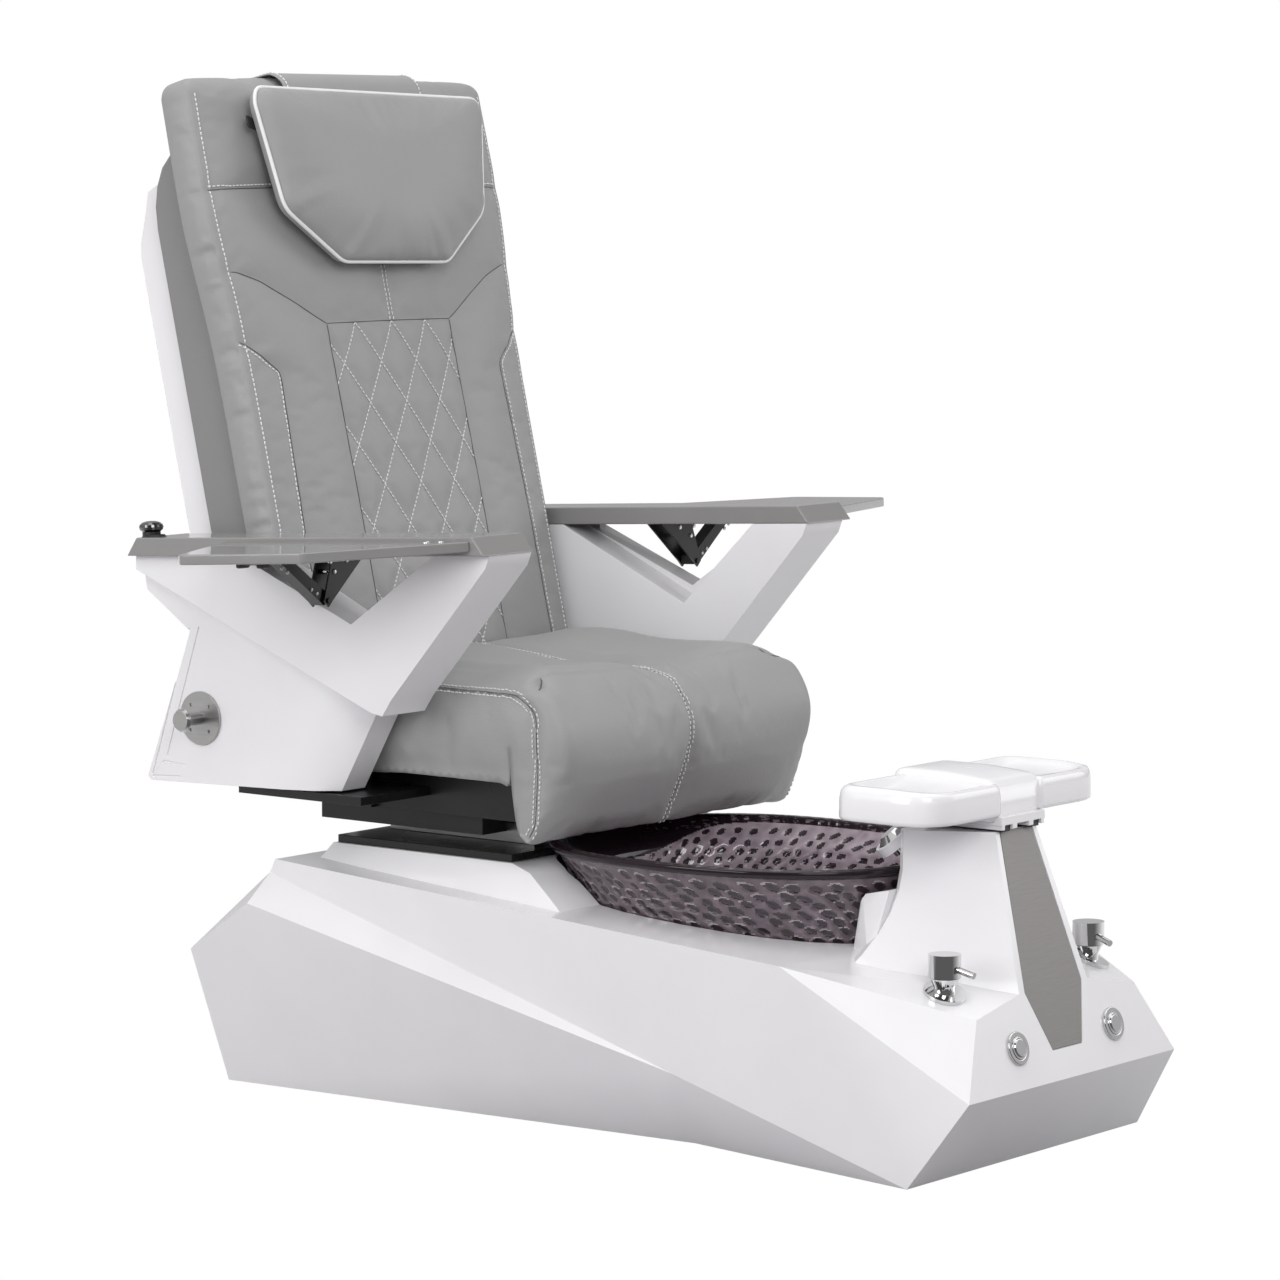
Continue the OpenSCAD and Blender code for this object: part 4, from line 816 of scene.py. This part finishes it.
def back_side(s, u, half, end, front_v, ripple):
    """The side of one ring from its front edge to the rear, slightly bulged and puckered by its seam."""
    rear = BACK_REAR - 10 * end
    points = []
    for k in range(1, SIDE_STEPS):
        t = k / SIDE_STEPS
        pucker = ripple * math.sin(math.pi * t ** 0.6) * (1 - 0.5 * t)
        bulge = 5.0 * math.sin(math.pi * t) * (1 - end) + pucker
        points.append(on_back(s * (half + bulge - 2 * t), u, front_v + (rear - front_v) * t))
    return points


def back_rear(u, half, end):
    """The flat rear of one ring, with the channel for the massage rollers."""
    reach = half - 4 - 12 * end
    wall = CHANNEL_HALF + 1
    points = []
    for x in np.r_[np.linspace(reach, wall, 8), 93, 60, 20, -20, -60, -93, np.linspace(-wall, -reach, 8)]:
        inside = ramp_up(u, CHANNEL_LOW, 6) * np.clip((CHANNEL_TOP - u) / 6, 0, 1)
        channel = np.clip((CHANNEL_HALF - abs(x)) / 4, 0, 1) * inside
        points.append(on_back(x, u, BACK_REAR - 10 * end - CHANNEL_DEEP * channel))
    return points


def make_back_cushion():
    plain, channels, centre, band = back_seams()
    seams = plain + channels + [centre, band]
    quilt = quilt_lines()
    us = back_levels()
    rounding = [back_rounding(u) for u in us]
    rng = np.random.default_rng(5)
    X, V = back_front(us, rounding, seams, quilt, rng)
    puckers = np.stack([rng.uniform(110, 950, 46), rng.uniform(3.5, 9, 46), rng.uniform(-2.6, 1.6, 46)])
    verts = []
    for u, (half, end), xs, vs in zip(us, rounding, X, V):
        ripple = float(np.sum(puckers[2] * hump(u - puckers[0], puckers[1])))
        verts += [on_back(x, u, v) for x, v in zip(xs, vs)]
        verts += back_side(1, u, half, end, vs[-1], ripple)
        verts += back_rear(u, half, end)
        verts += back_side(-1, u, half, end, vs[0], ripple)[::-1]
    faces = [f[::-1] for f in ring_faces(len(us), len(verts) // len(us))]

    sewn = line_cloud([[on_back(x, u, 8) for x, u in line] for line in seams + quilt])
    heights = np.arange(100, 960, 8)
    edges = line_cloud([[on_back(s * (back_half_width(u) - 4), u, 27) for u in heights] for s, _ in SIDES])

    def held(p):
        u, v = off_back(p)
        rear, foot = ramp_up(v, 0.056, 0.010), ramp_up(-u, -0.11, 0.01)
        front = nearness(p, sewn, 0.010) * (v < 0.03)
        return np.maximum.reduce([rear, foot, front, nearness(p, edges, 0.009)])

    verts = swollen(verts, faces, 0.0085, held, 0.006, 0.006)
    obj = piece("back_cushion_cover", verts, faces, "back", "leather", "back_cushion")
    fix_normals(obj)
    bvh = surface(obj)
    depth = (Vector(on_back(0, 0, 1)) - Vector(on_back(0, 0, 0))).normalized()

    def on_front(line):
        return laid_down(bvh, [on_back(x, u, 0) for x, u in even_line(line, 4)], depth)

    middle = on_front(centre)
    rows = [(on_front(channels[0]), 0.0045), (on_front(channels[1]), -0.0045)]
    rows += [(middle, 0.004), (middle, -0.004), (on_front(band), 0.0055)]
    for s, _ in SIDES:
        levels = np.arange(112, 955, 6.0)
        rows.append((np.array([on_back(s * (back_half_width(u) - 9), u, 22) for u in levels]), 0.0))
    rows += [(on_front(line), 0.0) for line in quilt]
    stitch_rows("back_cushion_stitching", "back", bvh, rows)
    # painted shade: dark tubes along the plain seams, the channels and the band
    folds = [on_front(line) for line in plain + channels + [band]]
    seam_shadow_tubes("back_cushion_seam_shadows", "back", bvh, folds, 0.0007)


# ---------- head pillow, its strap and flap, in mm ----------

PILLOW = [(-236, 948), (240, 935), (247, 912), (213, 764), (112, 689), (-116, 693), (-220, 772), (-244, 926)]
PILLOW_RADII = [26, 40, 40, 42, 34, 34, 42, 26]
PILLOW_MIDDLE = np.array([0, 828.0])
FLAP_HALF, FLAP_T = 150.0, 3.0
STRAP_X, STRAP_U, STRAP_V = -230, 897, -8


def make_pillow():
    outline = even_line(rounded_outline(PILLOW, PILLOW_RADII, 9), 6.5, closed=True)
    profile = [(0.90, -4.2), (0.955, -6.5), (0.985, -12), (1.0, -20), (1.0, -26), (0.99, -32),
               (0.968, -37.5), (0.93, -42), (0.86, -45.6), (0.76, -48), (0.62, -49.6), (0.46, -50.4),
               (0.3, -50.8), (0.15, -51.0)]
    verts = []
    for k, v in profile:
        for q in outline:
            x, u = PILLOW_MIDDLE + (q - PILLOW_MIDDLE) * k
            dent = 1.3 * math.sin(x / 38 + 1.0) * math.sin(u / 30) if v < -40 else 0
            verts.append(on_back(x, u, v + dent))
    faces = ring_faces(len(profile), len(outline))
    rim = line_cloud([[on_back(*q, -26) for q in outline]])

    def held(p):
        return np.maximum(ramp_up(off_back(p)[1], -0.022, 0.006), nearness(p, rim, 0.008))

    verts = swollen(verts, faces, 0.006, held, 0.007, 0.008)
    obj = piece("head_pillow_cover", verts, faces, "back", "leather", "head_pillow")
    fix_normals(obj)
    pipe = [on_back(*(PILLOW_MIDDLE + (q - PILLOW_MIDDLE) * 1.004), -27) for q in outline]
    tube("head_pillow_piping", pipe, 0.0029, "back", "piping", 8, closed=True)


def make_strap_end():
    """Short end of the pillow's fixing strap, showing at the pillow's side."""
    verts = []
    for x, thick in ((-247, 0.6), (-245, 1.4), (-232, 1.5), (-214, 1.5)):
        for u, v in ((-9, -1), (-7, 1), (7, 1), (9, -1), (7, -1.1), (-7, -1.1)):
            verts.append(on_back(x, STRAP_U + u - 0.35 * (x - STRAP_X), STRAP_V + v * thick))
    fix_normals(piece("pillow_strap_end", verts, ring_faces(4, 6), "back", "black_plastic"))


def make_flap():
    """The flap that holds the pillow, from behind it over the top of the back."""
    path = [(-3.0, 868), (-3.0, 925), (-1.5, 955), (6, 969), (20, 978.4), (34, 980.2), (60, 980.4),
            (76, 979.2), (84, 973), (87.6, 962), (88, 940), (88, 900)]
    line = smooth_line(path, 5)
    h = FLAP_HALF
    xs = np.r_[-h, -h + 1.2, np.linspace(-h + 5, h - 5, 24), h - 1.2, h]
    verts, edge_line = [], []
    for i, (v, u) in enumerate(line):
        along = line[min(i + 1, len(line) - 1)] - line[max(i - 1, 0)]
        along /= np.linalg.norm(along) + 1e-9
        out_v, out_u = -along[1], along[0]
        edge_line.append((u + out_u * 4, v + out_v * 4))
        for x in xs:
            edge = 0.35 if abs(x) >= h - 0.1 else 0.9 if abs(x) > h - 2 else 1.0
            thick = FLAP_T * edge * 0.85
            wave = 0.25 * math.sin(x / 26 + u / 19)
            verts.append(on_back(x, u + out_u * thick, v + out_v * (thick + wave)))
        verts += [on_back(x, u, v) for x in xs[::-1]]
    faces = ring_faces(len(line), 2 * len(xs))
    obj = piece("pillow_flap_cover", verts, faces, "back", "leather", "pillow_flap")
    fix_normals(obj)
    rows = [(np.array([on_back(s * (h - 6), u, v) for u, v in edge_line]), 0.0) for s, _ in SIDES]
    stitch_rows("pillow_flap_stitching", "back", surface(obj), rows)


# ---------- seat cushion, in mm ----------

SEAT_HALF, SEAT_FRONT, SEAT_TOP = 295, -44, 604.0
APRON_BULGE, SEAM_DIP = 42, 3.0
SEAT_AROUND = 300
SIDE_STEP, SIDE_BULGE, SIDE_EDGE = 8.0, 3.0, 34
SIDE_SEAM = [(150, 606), (132, 607), (70, 606), (11, 604), (-12, 598), (-30, 587), (-40, 573), (-43, 543),
             (-44, 495), (-42, 460), (-39, 425), (-30, 406)]
CENTRE_SEAM = [(330, 608), (230, 612), (120, 613), (60, 613), (9, 615), (-27, 612), (-54, 600), (-74, 573),
               (-81, 545), (-81, 517), (-74, 481), (-59, 444), (-27, 397)]
DART = [(250, -20, 626), (262, -26, 612), (273, -31, 597), (282, -34, 580)]


def filled_sheet(edge, step):
    """Fills a flat outline with even triangles; gives the inner points with their distance to the edge."""
    n = len(edge)
    ys = np.arange(edge[:, 0].min() + step / 2, edge[:, 0].max(), step)
    zs = np.arange(edge[:, 1].min() + step / 2, edge[:, 1].max(), step)
    nxt = np.roll(edge, -1, axis=0)
    inner = []
    for j, y in enumerate(ys):
        for z in zs + (step / 2 if j % 2 else 0):
            cross = (edge[:, 1] > z) != (nxt[:, 1] > z)
            share = (z - edge[cross, 1]) / (nxt[cross, 1] - edge[cross, 1])
            at = edge[cross, 0] + share * (nxt[cross, 0] - edge[cross, 0])
            d = np.min(np.hypot(edge[:, 0] - y, edge[:, 1] - z))
            if np.sum(at > y) % 2 and d > step * 0.55:
                inner.append(((y, z), d))
    points = [Vector(p) for p in edge] + [Vector(p) for p, _ in inner]
    made = delaunay_2d_cdt(points, [(i, (i + 1) % n) for i in range(n)], [], 1, 1e-5)
    return inner, [tuple(made[3][k][0] for k in face) for face in made[2]]


def seat_section(x):
    """Closed Y-Z section of the seat cushion at x, in mm, starting at the rear underside.

    e runs from 0 in the middle to 1 at the side, g is the share of the front's bulge there and f its face.
    """
    e = abs(x) / SEAT_HALF
    g = 1 if e < 0.9 else math.sqrt(max(0, 1 - ((e - 0.9) / 0.1) ** 2.4))
    f = SEAT_FRONT - (APRON_BULGE - SEAM_DIP * hump(x, 8)) * g
    rim = 1 - ((e - 0.75) / 0.25) ** 2 if e > 0.75 else 1
    crown = 11 + 12 * (e / 0.75) ** 2 if e < 0.75 else 23 * rim
    rear = SEAT_TOP + crown * 0.5 + 13 * min(1, rim)
    under = 478.5 + (0 if e > 0.8 else 12)
    back = 4
    return [
        (298, 528), (284, under), (190, under), (90, under), (24, under), (back, under), (back - 3, 530),
        (back - 4, 478), (back - 14, 419), (back - 26, 401.5), ((-28 - f) * 0.9 + f, 401 - 3 * g),
        (f + 6 + 22 * g, 443 - 20 * (1 - g)), (f + 2 + 9 * g, 482), (f, 518), (f, 544 + 4 * g),
        (f + 6 + 6 * g, 573 + 3 * g), (f + 20 + 14 * g, 595 + 6 * g), (f + 44 + 22 * g, 603 + crown * 0.7),
        (f + 92, SEAT_TOP + crown), (120, SEAT_TOP + crown * 0.8), (230, rear), (336, rear - 2),
        (350, rear - 14), (354, SEAT_TOP - 20), (338, SEAT_TOP - 52)]


def seat_skin():
    """Points and faces of the seat cushion: rings from side to side, and a slightly bulged sheet on each."""
    es = np.r_[0, 0.004, 0.008, 0.012, 0.017, 0.023, 0.030, np.linspace(0.04, 0.9, 70)[:-1],
               0.9 + 0.1 * np.sin(np.linspace(0, math.pi / 2, 14))]
    xs = SEAT_HALF * np.r_[-es[::-1], es[1:]]
    loops = []
    for x in xs:
        section = smooth_line(seat_section(x), 14, closed=True)
        loops.append(np.vstack([section, section[:1]]))
    way = way_along(loops[0])
    places = np.arange(len(way))
    marks = np.interp(np.linspace(0, 1, SEAT_AROUND, endpoint=False), way / way[-1], places)
    verts = []
    for x, loop in zip(xs, loops):
        for y, z in zip(np.interp(marks, places, loop[:, 0]), np.interp(marks, places, loop[:, 1])):
            verts.append((x * MM, y * MM, z * MM))
    faces = ring_faces(len(xs), SEAT_AROUND, False)
    for s, _ in SIDES:
        first = 0 if s < 0 else (len(xs) - 1) * SEAT_AROUND
        edge = np.array(verts[first:first + SEAT_AROUND])[:, 1:] / MM
        inner, tris = filled_sheet(edge, SIDE_STEP)
        start = len(verts)
        for (y, z), d in inner:
            bulge = SIDE_BULGE * (1 - (1 - min(1, d / SIDE_EDGE)) ** 2)
            verts.append((s * (SEAT_HALF + bulge) * MM, y * MM, z * MM))
        for tri in tris:
            tri = tuple(first + k if k < SEAT_AROUND else start + k - SEAT_AROUND for k in tri)
            faces.append(tri if s < 0 else tri[::-1])
    return verts, faces


def make_seat_cushion():
    verts, faces = seat_skin()
    side_lines = [[(s * (SEAT_HALF - 1), y, z) for y, z in SIDE_SEAM] for s, _ in SIDES]
    centre_line = [(0, y, z) for y, z in CENTRE_SEAM]
    sewn = line_cloud([np.array(line) * MM for line in side_lines + [centre_line]])

    def held(p):
        low = p[:, 2] < 0.486
        under = ramp_up(-p[:, 2], -0.486, 0.006) * (p[:, 1] > -0.02)
        inner = ramp_up(p[:, 1], -0.026, 0.01) * low
        rear = ramp_up(p[:, 1], 0.33, 0.012)
        return np.maximum.reduce([under, inner, rear, nearness(p, sewn, 0.011)])

    verts = swollen(verts, faces, 0.009, held, 0.009, 0.010)
    obj = piece("seat_cushion_cover", verts, faces, "carriage", "leather", "seat_cushion")
    fix_normals(obj)

    def pressed(line, *sizes):
        line = even_line(smooth_line(line, 6), 4) * MM
        sink(obj, line, *sizes)
        return line

    sides, darts = [], []
    for (s, _), line in zip(SIDES, side_lines):
        sides.append(pressed(line, 0.0024, 0.0036, 0.0016, 0.012))
        darts.append(pressed([(s * x, y, z) for x, y, z in DART], 0.004, 0.005, 0.002, 0.014))
    centre = pressed(centre_line, 0.0016, 0.0026, 0.0018, 0.016)
    bvh = surface(obj)
    # painted shade along the side and centre seams and in the darts
    seam_shadow_tubes("seat_cushion_seam_shadows", "carriage", bvh, sides + [centre], 0.00055)
    seam_shadow_tubes("seat_cushion_dart_shadows", "carriage", bvh, darts, 0.0009, 0.9)
    rows = [(line, s * 0.0055) for line in sides for s in (1, -1)] + [(centre, s * 0.0048) for s in (1, -1)]
    stitch_rows("seat_cushion_stitching", "carriage", bvh, rows, 0.00095, 0.9)


# ---------- bowl, in mm ----------

# points round the wall, and the way round it
BOWL_AROUND, BOWL_WAY = 620, 1500.0
MARK_ROWS, MARKS_IN_ROW, ROW_HEIGHT = 13, 60, 12.4
OUTER_PIT, INNER_PIT, OUTER_FLUTE, INNER_FLUTE = 3.1, 2.4, 1.3, 1.6
BOWL_MIDDLE_Y, BOWL_FLOOR = -170, 203
# direction of the smooth dark crescent on the inner wall, a painted reflection of the seat's underside, in
# radians from the sitter's left
CRESCENT = 1.75
# places of the bowl's five materials
GLASS_AND_RIM_GLINT, LIP_AND_REFLECTION, PIT_SHADE, INSIDE_LIT, GLINT = range(5)
# the walls from the floor up and from the lip down, in height, half width and the Y of the rear and front
OUTER_WALL = [(200, 150, -30, -435), (208, 164, -15, -448), (225, 178, -2, -460), (290, 203, 40, -473),
              (337, 221, 64, -484), (352, 229, 74, -488), (366, 236, 84, -493), (371, 239, 88, -494),
              (373.5, 246, 95, -499), (378, 249.5, 99, -501), (382, 249.5, 99, -501), (385.4, 245, 94, -496)]
INNER_WALL = [(385, 239, 88, -491), (382.5, 233, 81, -488), (374, 229.6, 74, -483.6),
              (360, 217.6, 60, -477.4), (341.5, 202.9, 44, -469.6), (290, 194, 31, -464),
              (236, 169, -11, -451), (216, 155, -26, -440), (209, 141, -39, -426)]


def bowl_ring(z, half, rear, front):
    """One level of the wall, from its half width and the places of its rear and front."""
    out = []
    for i in range(BOWL_AROUND):
        a = 2 * math.pi * i / BOWL_AROUND
        c, s = math.cos(a), math.sin(a)
        e = 2.2 if s > 0 else 2.5
        r = (abs(c) ** e + abs(s) ** e) ** (-1 / e)
        reach = rear - BOWL_MIDDLE_Y if s > 0 else BOWL_MIDDLE_Y - front
        out.append((half * r * c, BOWL_MIDDLE_Y + reach * r * s, z))
    return np.array(out)


def hammer_marks(first_z, seed):
    """Staggered, leaning oval hammer marks: centre along the wall, centre height, half sizes and tilt."""
    rng = np.random.default_rng(seed)
    marks = []
    for r in range(MARK_ROWS):
        for c in range(MARKS_IN_ROW):
            along = (c + 0.5 * (r % 2) + rng.uniform(-0.16, 0.16)) * BOWL_WAY / MARKS_IN_ROW
            z = first_z + r * ROW_HEIGHT + rng.uniform(-2.2, 2.2)
            marks.append((along, z, rng.uniform(8.5, 11.0), rng.uniform(4.6, 6.2), rng.uniform(0.25, 0.6)))
    return marks


def hammered_depth(along, z, marks):
    """Depth of the pits at places along the wall, and how far above a pit's middle each place lies, which
    places the painted glints and is 0 on marks that get none.
    """
    out = np.zeros(along.shape)
    above = np.zeros(along.shape)
    for mark_at, mark_z, long, high, tilt in marks:
        ds = (along - mark_at + BOWL_WAY / 2) % BOWL_WAY - BOWL_WAY / 2
        dz = z - mark_z
        near = np.abs(ds) < 30
        if abs(dz) >= 20 or not near.any():
            continue
        p = (ds[near] * math.cos(tilt) - dz * math.sin(tilt)) / long
        q = (ds[near] * math.sin(tilt) + dz * math.cos(tilt)) / high
        deep = np.exp(-(p ** 2 + q ** 2) ** 1.5)
        # marks picked at random to carry a painted glint
        catches_light = math.sin(mark_at * 3.7 + mark_z) > -0.3
        above[near] = np.where(deep > out[near], (q - p) * catches_light, above[near])
        out[near] = np.maximum(out[near], deep)
    return out, above


def blotches(rings):
    """Uneven smooth noise over the wall."""
    noise = np.random.default_rng(5).normal(size=(rings, BOWL_AROUND))
    for shift, axis in ((1, 1), (2, 1), (1, 1), (1, 0)):
        noise = noise + np.roll(noise, shift, axis=axis)
    return noise / noise.std()


def crescent(turn, width):
    """1 in the middle of the smooth crescent at the bowl's rear, where the lip's dark colour is painted down
    the inner wall as a reflection of the seat's underside, 0 beside it.
    """
    return np.exp(-((turn - CRESCENT) / width) ** 4)


def pushed_in(points, depth):
    """Moves a ring's points sideways along their normals."""
    tangent = np.roll(points, -1, axis=0) - np.roll(points, 1, axis=0)
    normal = np.stack([tangent[:, 1], -tangent[:, 0]], axis=1)
    normal /= np.linalg.norm(normal, axis=1, keepdims=True)
    points[:, :2] -= normal * depth[:, None]
    return points


def make_bowl():
    profile = even_line(smooth_line(OUTER_WALL, 12), 2.1)
    rings = np.vstack([profile, even_line(smooth_line(INNER_WALL, 12), 2.1)])
    outer_marks, inner_marks = hammer_marks(208, 3), hammer_marks(214, 8)
    turn = 2 * math.pi * np.arange(BOWL_AROUND) / BOWL_AROUND
    along = np.arange(BOWL_AROUND) * BOWL_WAY / BOWL_AROUND
    flute = 0.5 + 0.5 * np.cos(92 * turn + 1.5 * np.sin(7 * turn) + 1.0 * np.sin(17 * turn))
    # top of the lip's dark colour on the inner wall; it dips at the crescent, painted there as a dark
    # reflection of the seat's underside
    wave = 374 - 40 * crescent(turn, 0.82)
    blot = blotches(len(rings))
    verts, kinds = [], []
    for k, (z, half, rear, front) in enumerate(rings):
        out = k < len(profile)
        top = 369.0 if out else wave
        fade = np.clip((top + 3 - z) / 5, 0, 1) * np.clip((z - BOWL_FLOOR) / 8, 0, 1) * np.ones(BOWL_AROUND)
        deep, above = hammered_depth(along, z, outer_marks if out else inner_marks)
        deep = deep * fade
        crest = (1 - fade) * flute * (z > (383.5 if out else 368))
        # no flutes in the painted reflection
        if not out and z < 376:
            crest = crest * np.clip(1.2 - 1.2 * crescent(turn, 0.75), 0, 1)
        depth = OUTER_PIT * deep + OUTER_FLUTE * crest if out else -INNER_PIT * deep - INNER_FLUTE * crest
        verts += list(pushed_in(bowl_ring(z, half, rear, front), depth) * MM)
        # the inner wall starts as the lighter copy of the glass, painted light
        kind = np.full(BOWL_AROUND, GLASS_AND_RIM_GLINT if out else INSIDE_LIT)
        # painted highlight: the pale glint colour on the upper rim of the chosen pits
        kind[(deep > 0.14) & (deep < 0.60) & (above > 0.85)] = GLINT
        # painted shade in the deep middle of each pit
        kind[deep > (0.5 if out else 0.7)] = PIT_SHADE
        # the lip's dark colour at the top, which on the inner wall also paints the crescent's dark reflection
        kind[fade < 0.3] = LIP_AND_REFLECTION
        # painted glints on the rim's flute crests, in blotches: a colour a little lighter than the lip
        # outside (the pits' one) and the mauve glass colour inside
        kind[(crest > 0.25) & (fade < 0.3) & (blot[k] > 0.75)] = PIT_SHADE if out else GLASS_AND_RIM_GLINT
        kinds.append(kind)
    faces = ring_faces(len(rings), BOWL_AROUND)
    obj = piece("foot_bowl_glass", verts, faces, "base", "bowl_glass", "foot_bowl")
    for name in ("bowl_lip_and_reflection", "bowl_pit_shade", "bowl_inside_lit", "bowl_glint"):
        obj.data.materials.append(MATS[name])
    for k, face in enumerate(obj.data.polygons):
        ring, place = divmod(k, BOWL_AROUND)
        if ring < len(rings) - 1 and rings[ring][0] > BOWL_FLOOR:
            face.material_index = int(kinds[ring][place])
    fix_normals(obj)


# ---------- footrest, in mm ----------

PAD_FRONT, PAD_REAR, PAD_HALF, PAD_INNER = -639, -475, 208, 46
PAD_STEP = 4.5


def slab(outline, centre, profile, sag):
    """Rings of an outline drawn in and raised by a profile of (inset, z), lowered by a sag."""
    c = np.array(centre, float)
    size = np.abs(outline - c).max(axis=0)
    verts = []
    for inset, z in profile:
        for q in outline:
            x, y = c + (q - c) * np.maximum(0.02, 1 - inset / size)
            verts.append((x * MM, y * MM, (z - sag(x, y, inset)) * MM))
    return verts


def pad_sag(x, y, inset):
    """The hollow for a foot, and the fall towards the front."""
    t = min(1, max(0, (inset - 11) / 16))
    edge = 3 * t * t - 2 * t ** 3
    fall = 3.9 * max(0, (-y - 560) / 80) ** 1.5 if inset > 8 else 0
    return 13 * edge * hump(abs(x) - 132, 66) + fall


def bridge_sag(x, y, inset):
    return 8 * max(0, (-y - 530) / 105) ** 1.6 if inset > 1 else 0


def make_footrest():
    flat_top = [(inset, 508) for inset in (14, 22, 34, 48, 62, 74, 80)]
    rounding = [(3, 461.2), (0.6, 463), (0, 467), (0.4, 490), (1.6, 499), (4.5, 504.5), (9, 507.2)] + flat_top
    slabs = []
    for s, _ in SIDES:
        outer, inner = s * PAD_HALF, s * PAD_INNER
        corners = [(outer, PAD_FRONT), (outer, PAD_REAR), (inner, PAD_REAR), (inner, PAD_FRONT)]
        radii = [64, 34, 6, 6]
        if s < 0:
            corners, radii = corners[::-1], radii[::-1]
        outline = even_line(rounded_outline(corners, radii, 14), PAD_STEP, closed=True)
        slabs.append((outline, ((outer + inner) / 2, (PAD_FRONT + PAD_REAR) / 2), rounding, pad_sag))
    corners = [(-64, -633), (64, -633), (60, -469), (-60, -469)]
    outline = even_line(rounded_outline(corners, [16, 16, 10, 10], 10), PAD_STEP, closed=True)
    bridge = [(2, 461.2), (0, 464), (0, 500), (1.5, 508), (5, 513), (10, 515), (20, 515.6), (40, 516),
              (60, 516)]
    slabs.append((outline, (0, -551), bridge, bridge_sag))
    verts, faces = [], []
    for outline, centre, profile, sag in slabs:
        faces += shifted(ring_faces(len(profile), len(outline)), len(verts))
        verts += slab(outline, centre, profile, sag)
    obj = piece("footrest_pad_shell", verts, faces, "footrest", "white_shell", "footrest_pad")
    fix_normals(obj)


# ---------- fittings of the trays, in mm ----------

TILT = math.radians(2.9)
BOARD_Y, BOARD_Z = 600, 794
PIN_X, PIN_Y, PIN_Z = 414.0, -355.0, -87.0
BRACE_TOP = -24.0
TRAY_X = 419.0


def on_arm_board(x, y, z):
    """Row-frame point in metres from the arm board's own rising plane, in mm."""
    rise_y = BOARD_Y + y * math.cos(TILT) + z * math.sin(TILT)
    rise_z = BOARD_Z - y * math.sin(TILT) + z * math.cos(TILT)
    return Vector((x * MM, rise_y * MM, rise_z * MM))


def make_bracket_fittings(s, label):
    x, front = PIN_X - 14, PIN_Y - 15.5
    places = [on_arm_board(s * px, front, pz) for px, pz in ((x, -48), (PIN_X - 40, -34), (PIN_X - 6, -34))]
    rivets(f"bracket_rivets_{label}", "carriage", "chrome", places, (0, -1, 0.05), 3.6, 2.2)
    line = [on_arm_board(s * x, PIN_Y + reach, -48) for reach in (14, -14)]
    tube(f"bracket_spacer_{label}", line, 0.0035, "carriage", "chrome", 12)
    places = [on_arm_board(s * (PIN_X + 108 * t), PIN_Y - 11, PIN_Z + (BRACE_TOP - PIN_Z) * t)
              for t in (0.17, 0.27, 0.70, 0.80)]
    rivets(f"brace_rivets_{label}", f"tray_{label}", "steel", places, (0, -1, 0.05), 3.0, 1.4)
    places = [on_arm_board(s * (TRAY_X + px), py, -6) for px, py in ((9, -590), (25, -577), (9, -566))]
    rivets(f"tray_screws_{label}", f"tray_{label}", "chrome", places, (0, -0.05, 1), 4.6, 1.8, 0.15)


def make_latch(s, label):
    """The catch under the tray: three small blocks with cut corners, drawn in at their lower edge."""
    blocks = [(600, -410, 26, 9, -20, -25), (585, -410, 8, 6, -25, -31), (624, -410, 10, 5, -20, -28)]
    corner = 2.0
    verts, faces = [], []
    for x, y, wide, deep, z0, z1 in blocks:
        faces += shifted(ring_faces(3, 8), len(verts))
        for z, shrink in ((z0, 0), (z0 - 0.8 * (z0 - z1), 0), (z1, 1.4)):
            for cx, cy in ((-1, -1), (1, -1), (1, 1), (-1, 1)):
                for tx, ty in (((0, 1), (1, 0)) if cx * cy > 0 else ((1, 0), (0, 1))):
                    px = x + cx * (wide - shrink - corner * tx)
                    py = y + cy * (deep - shrink - corner * ty)
                    verts.append(on_arm_board(s * px, py, z))
    latch = piece(f"tray_latch_{label}", verts, faces, f"tray_{label}", "dark_plastic", smooth=False)
    fix_normals(latch)


for side, side_name in SIDES:
    make_bracket_fittings(side, side_name)
    make_latch(side, side_name)
make_back_cushion()
make_pillow()
make_strap_end()
make_flap()
make_seat_cushion()
make_bowl()
make_footrest()


# ---------- rounded edges of the CAD pieces, by radius in mm ----------

ROUNDED = {
    9.0: ["back_shell", "back_bolster"],
    5.0: ["base_shell"],
    4.0: ["arm_panel_right", "arm_panel_left"],
    2.2: ["arm_board_right", "arm_board_left"],
    2.0: ["side_tray_right", "side_tray_left", "floor_frame", "jet_cover"],
    1.5: ["bowl_cradle", "back_frame", "jet_motor"],
    1.4: ["hand_spray"],
    1.2: ["seat_frame", "mixer_handle_right", "mixer_handle_left", "button_bezel_right", "button_bezel_left",
          "spray_holder", "footrest_slider"],
    1.0: ["slide_plate", "slide_rails"],
    0.9: ["mixer_body_right", "mixer_body_left", "bag_hook"],
    0.8: ["accent_panel", "push_button_right", "push_button_left", "footrest_rails", "knob_base",
          "tray_brace_right", "tray_brace_left", "drain_stopper", "seat_pan", "massage_carriage"],
    0.6: ["drain_strainer", "drain_pipe", "massage_rails"],
    0.5: ["tray_bracket_right", "tray_bracket_left"],
}
for radius, node_names in ROUNDED.items():
    for node_name in node_names:
        soften(node_name, radius)
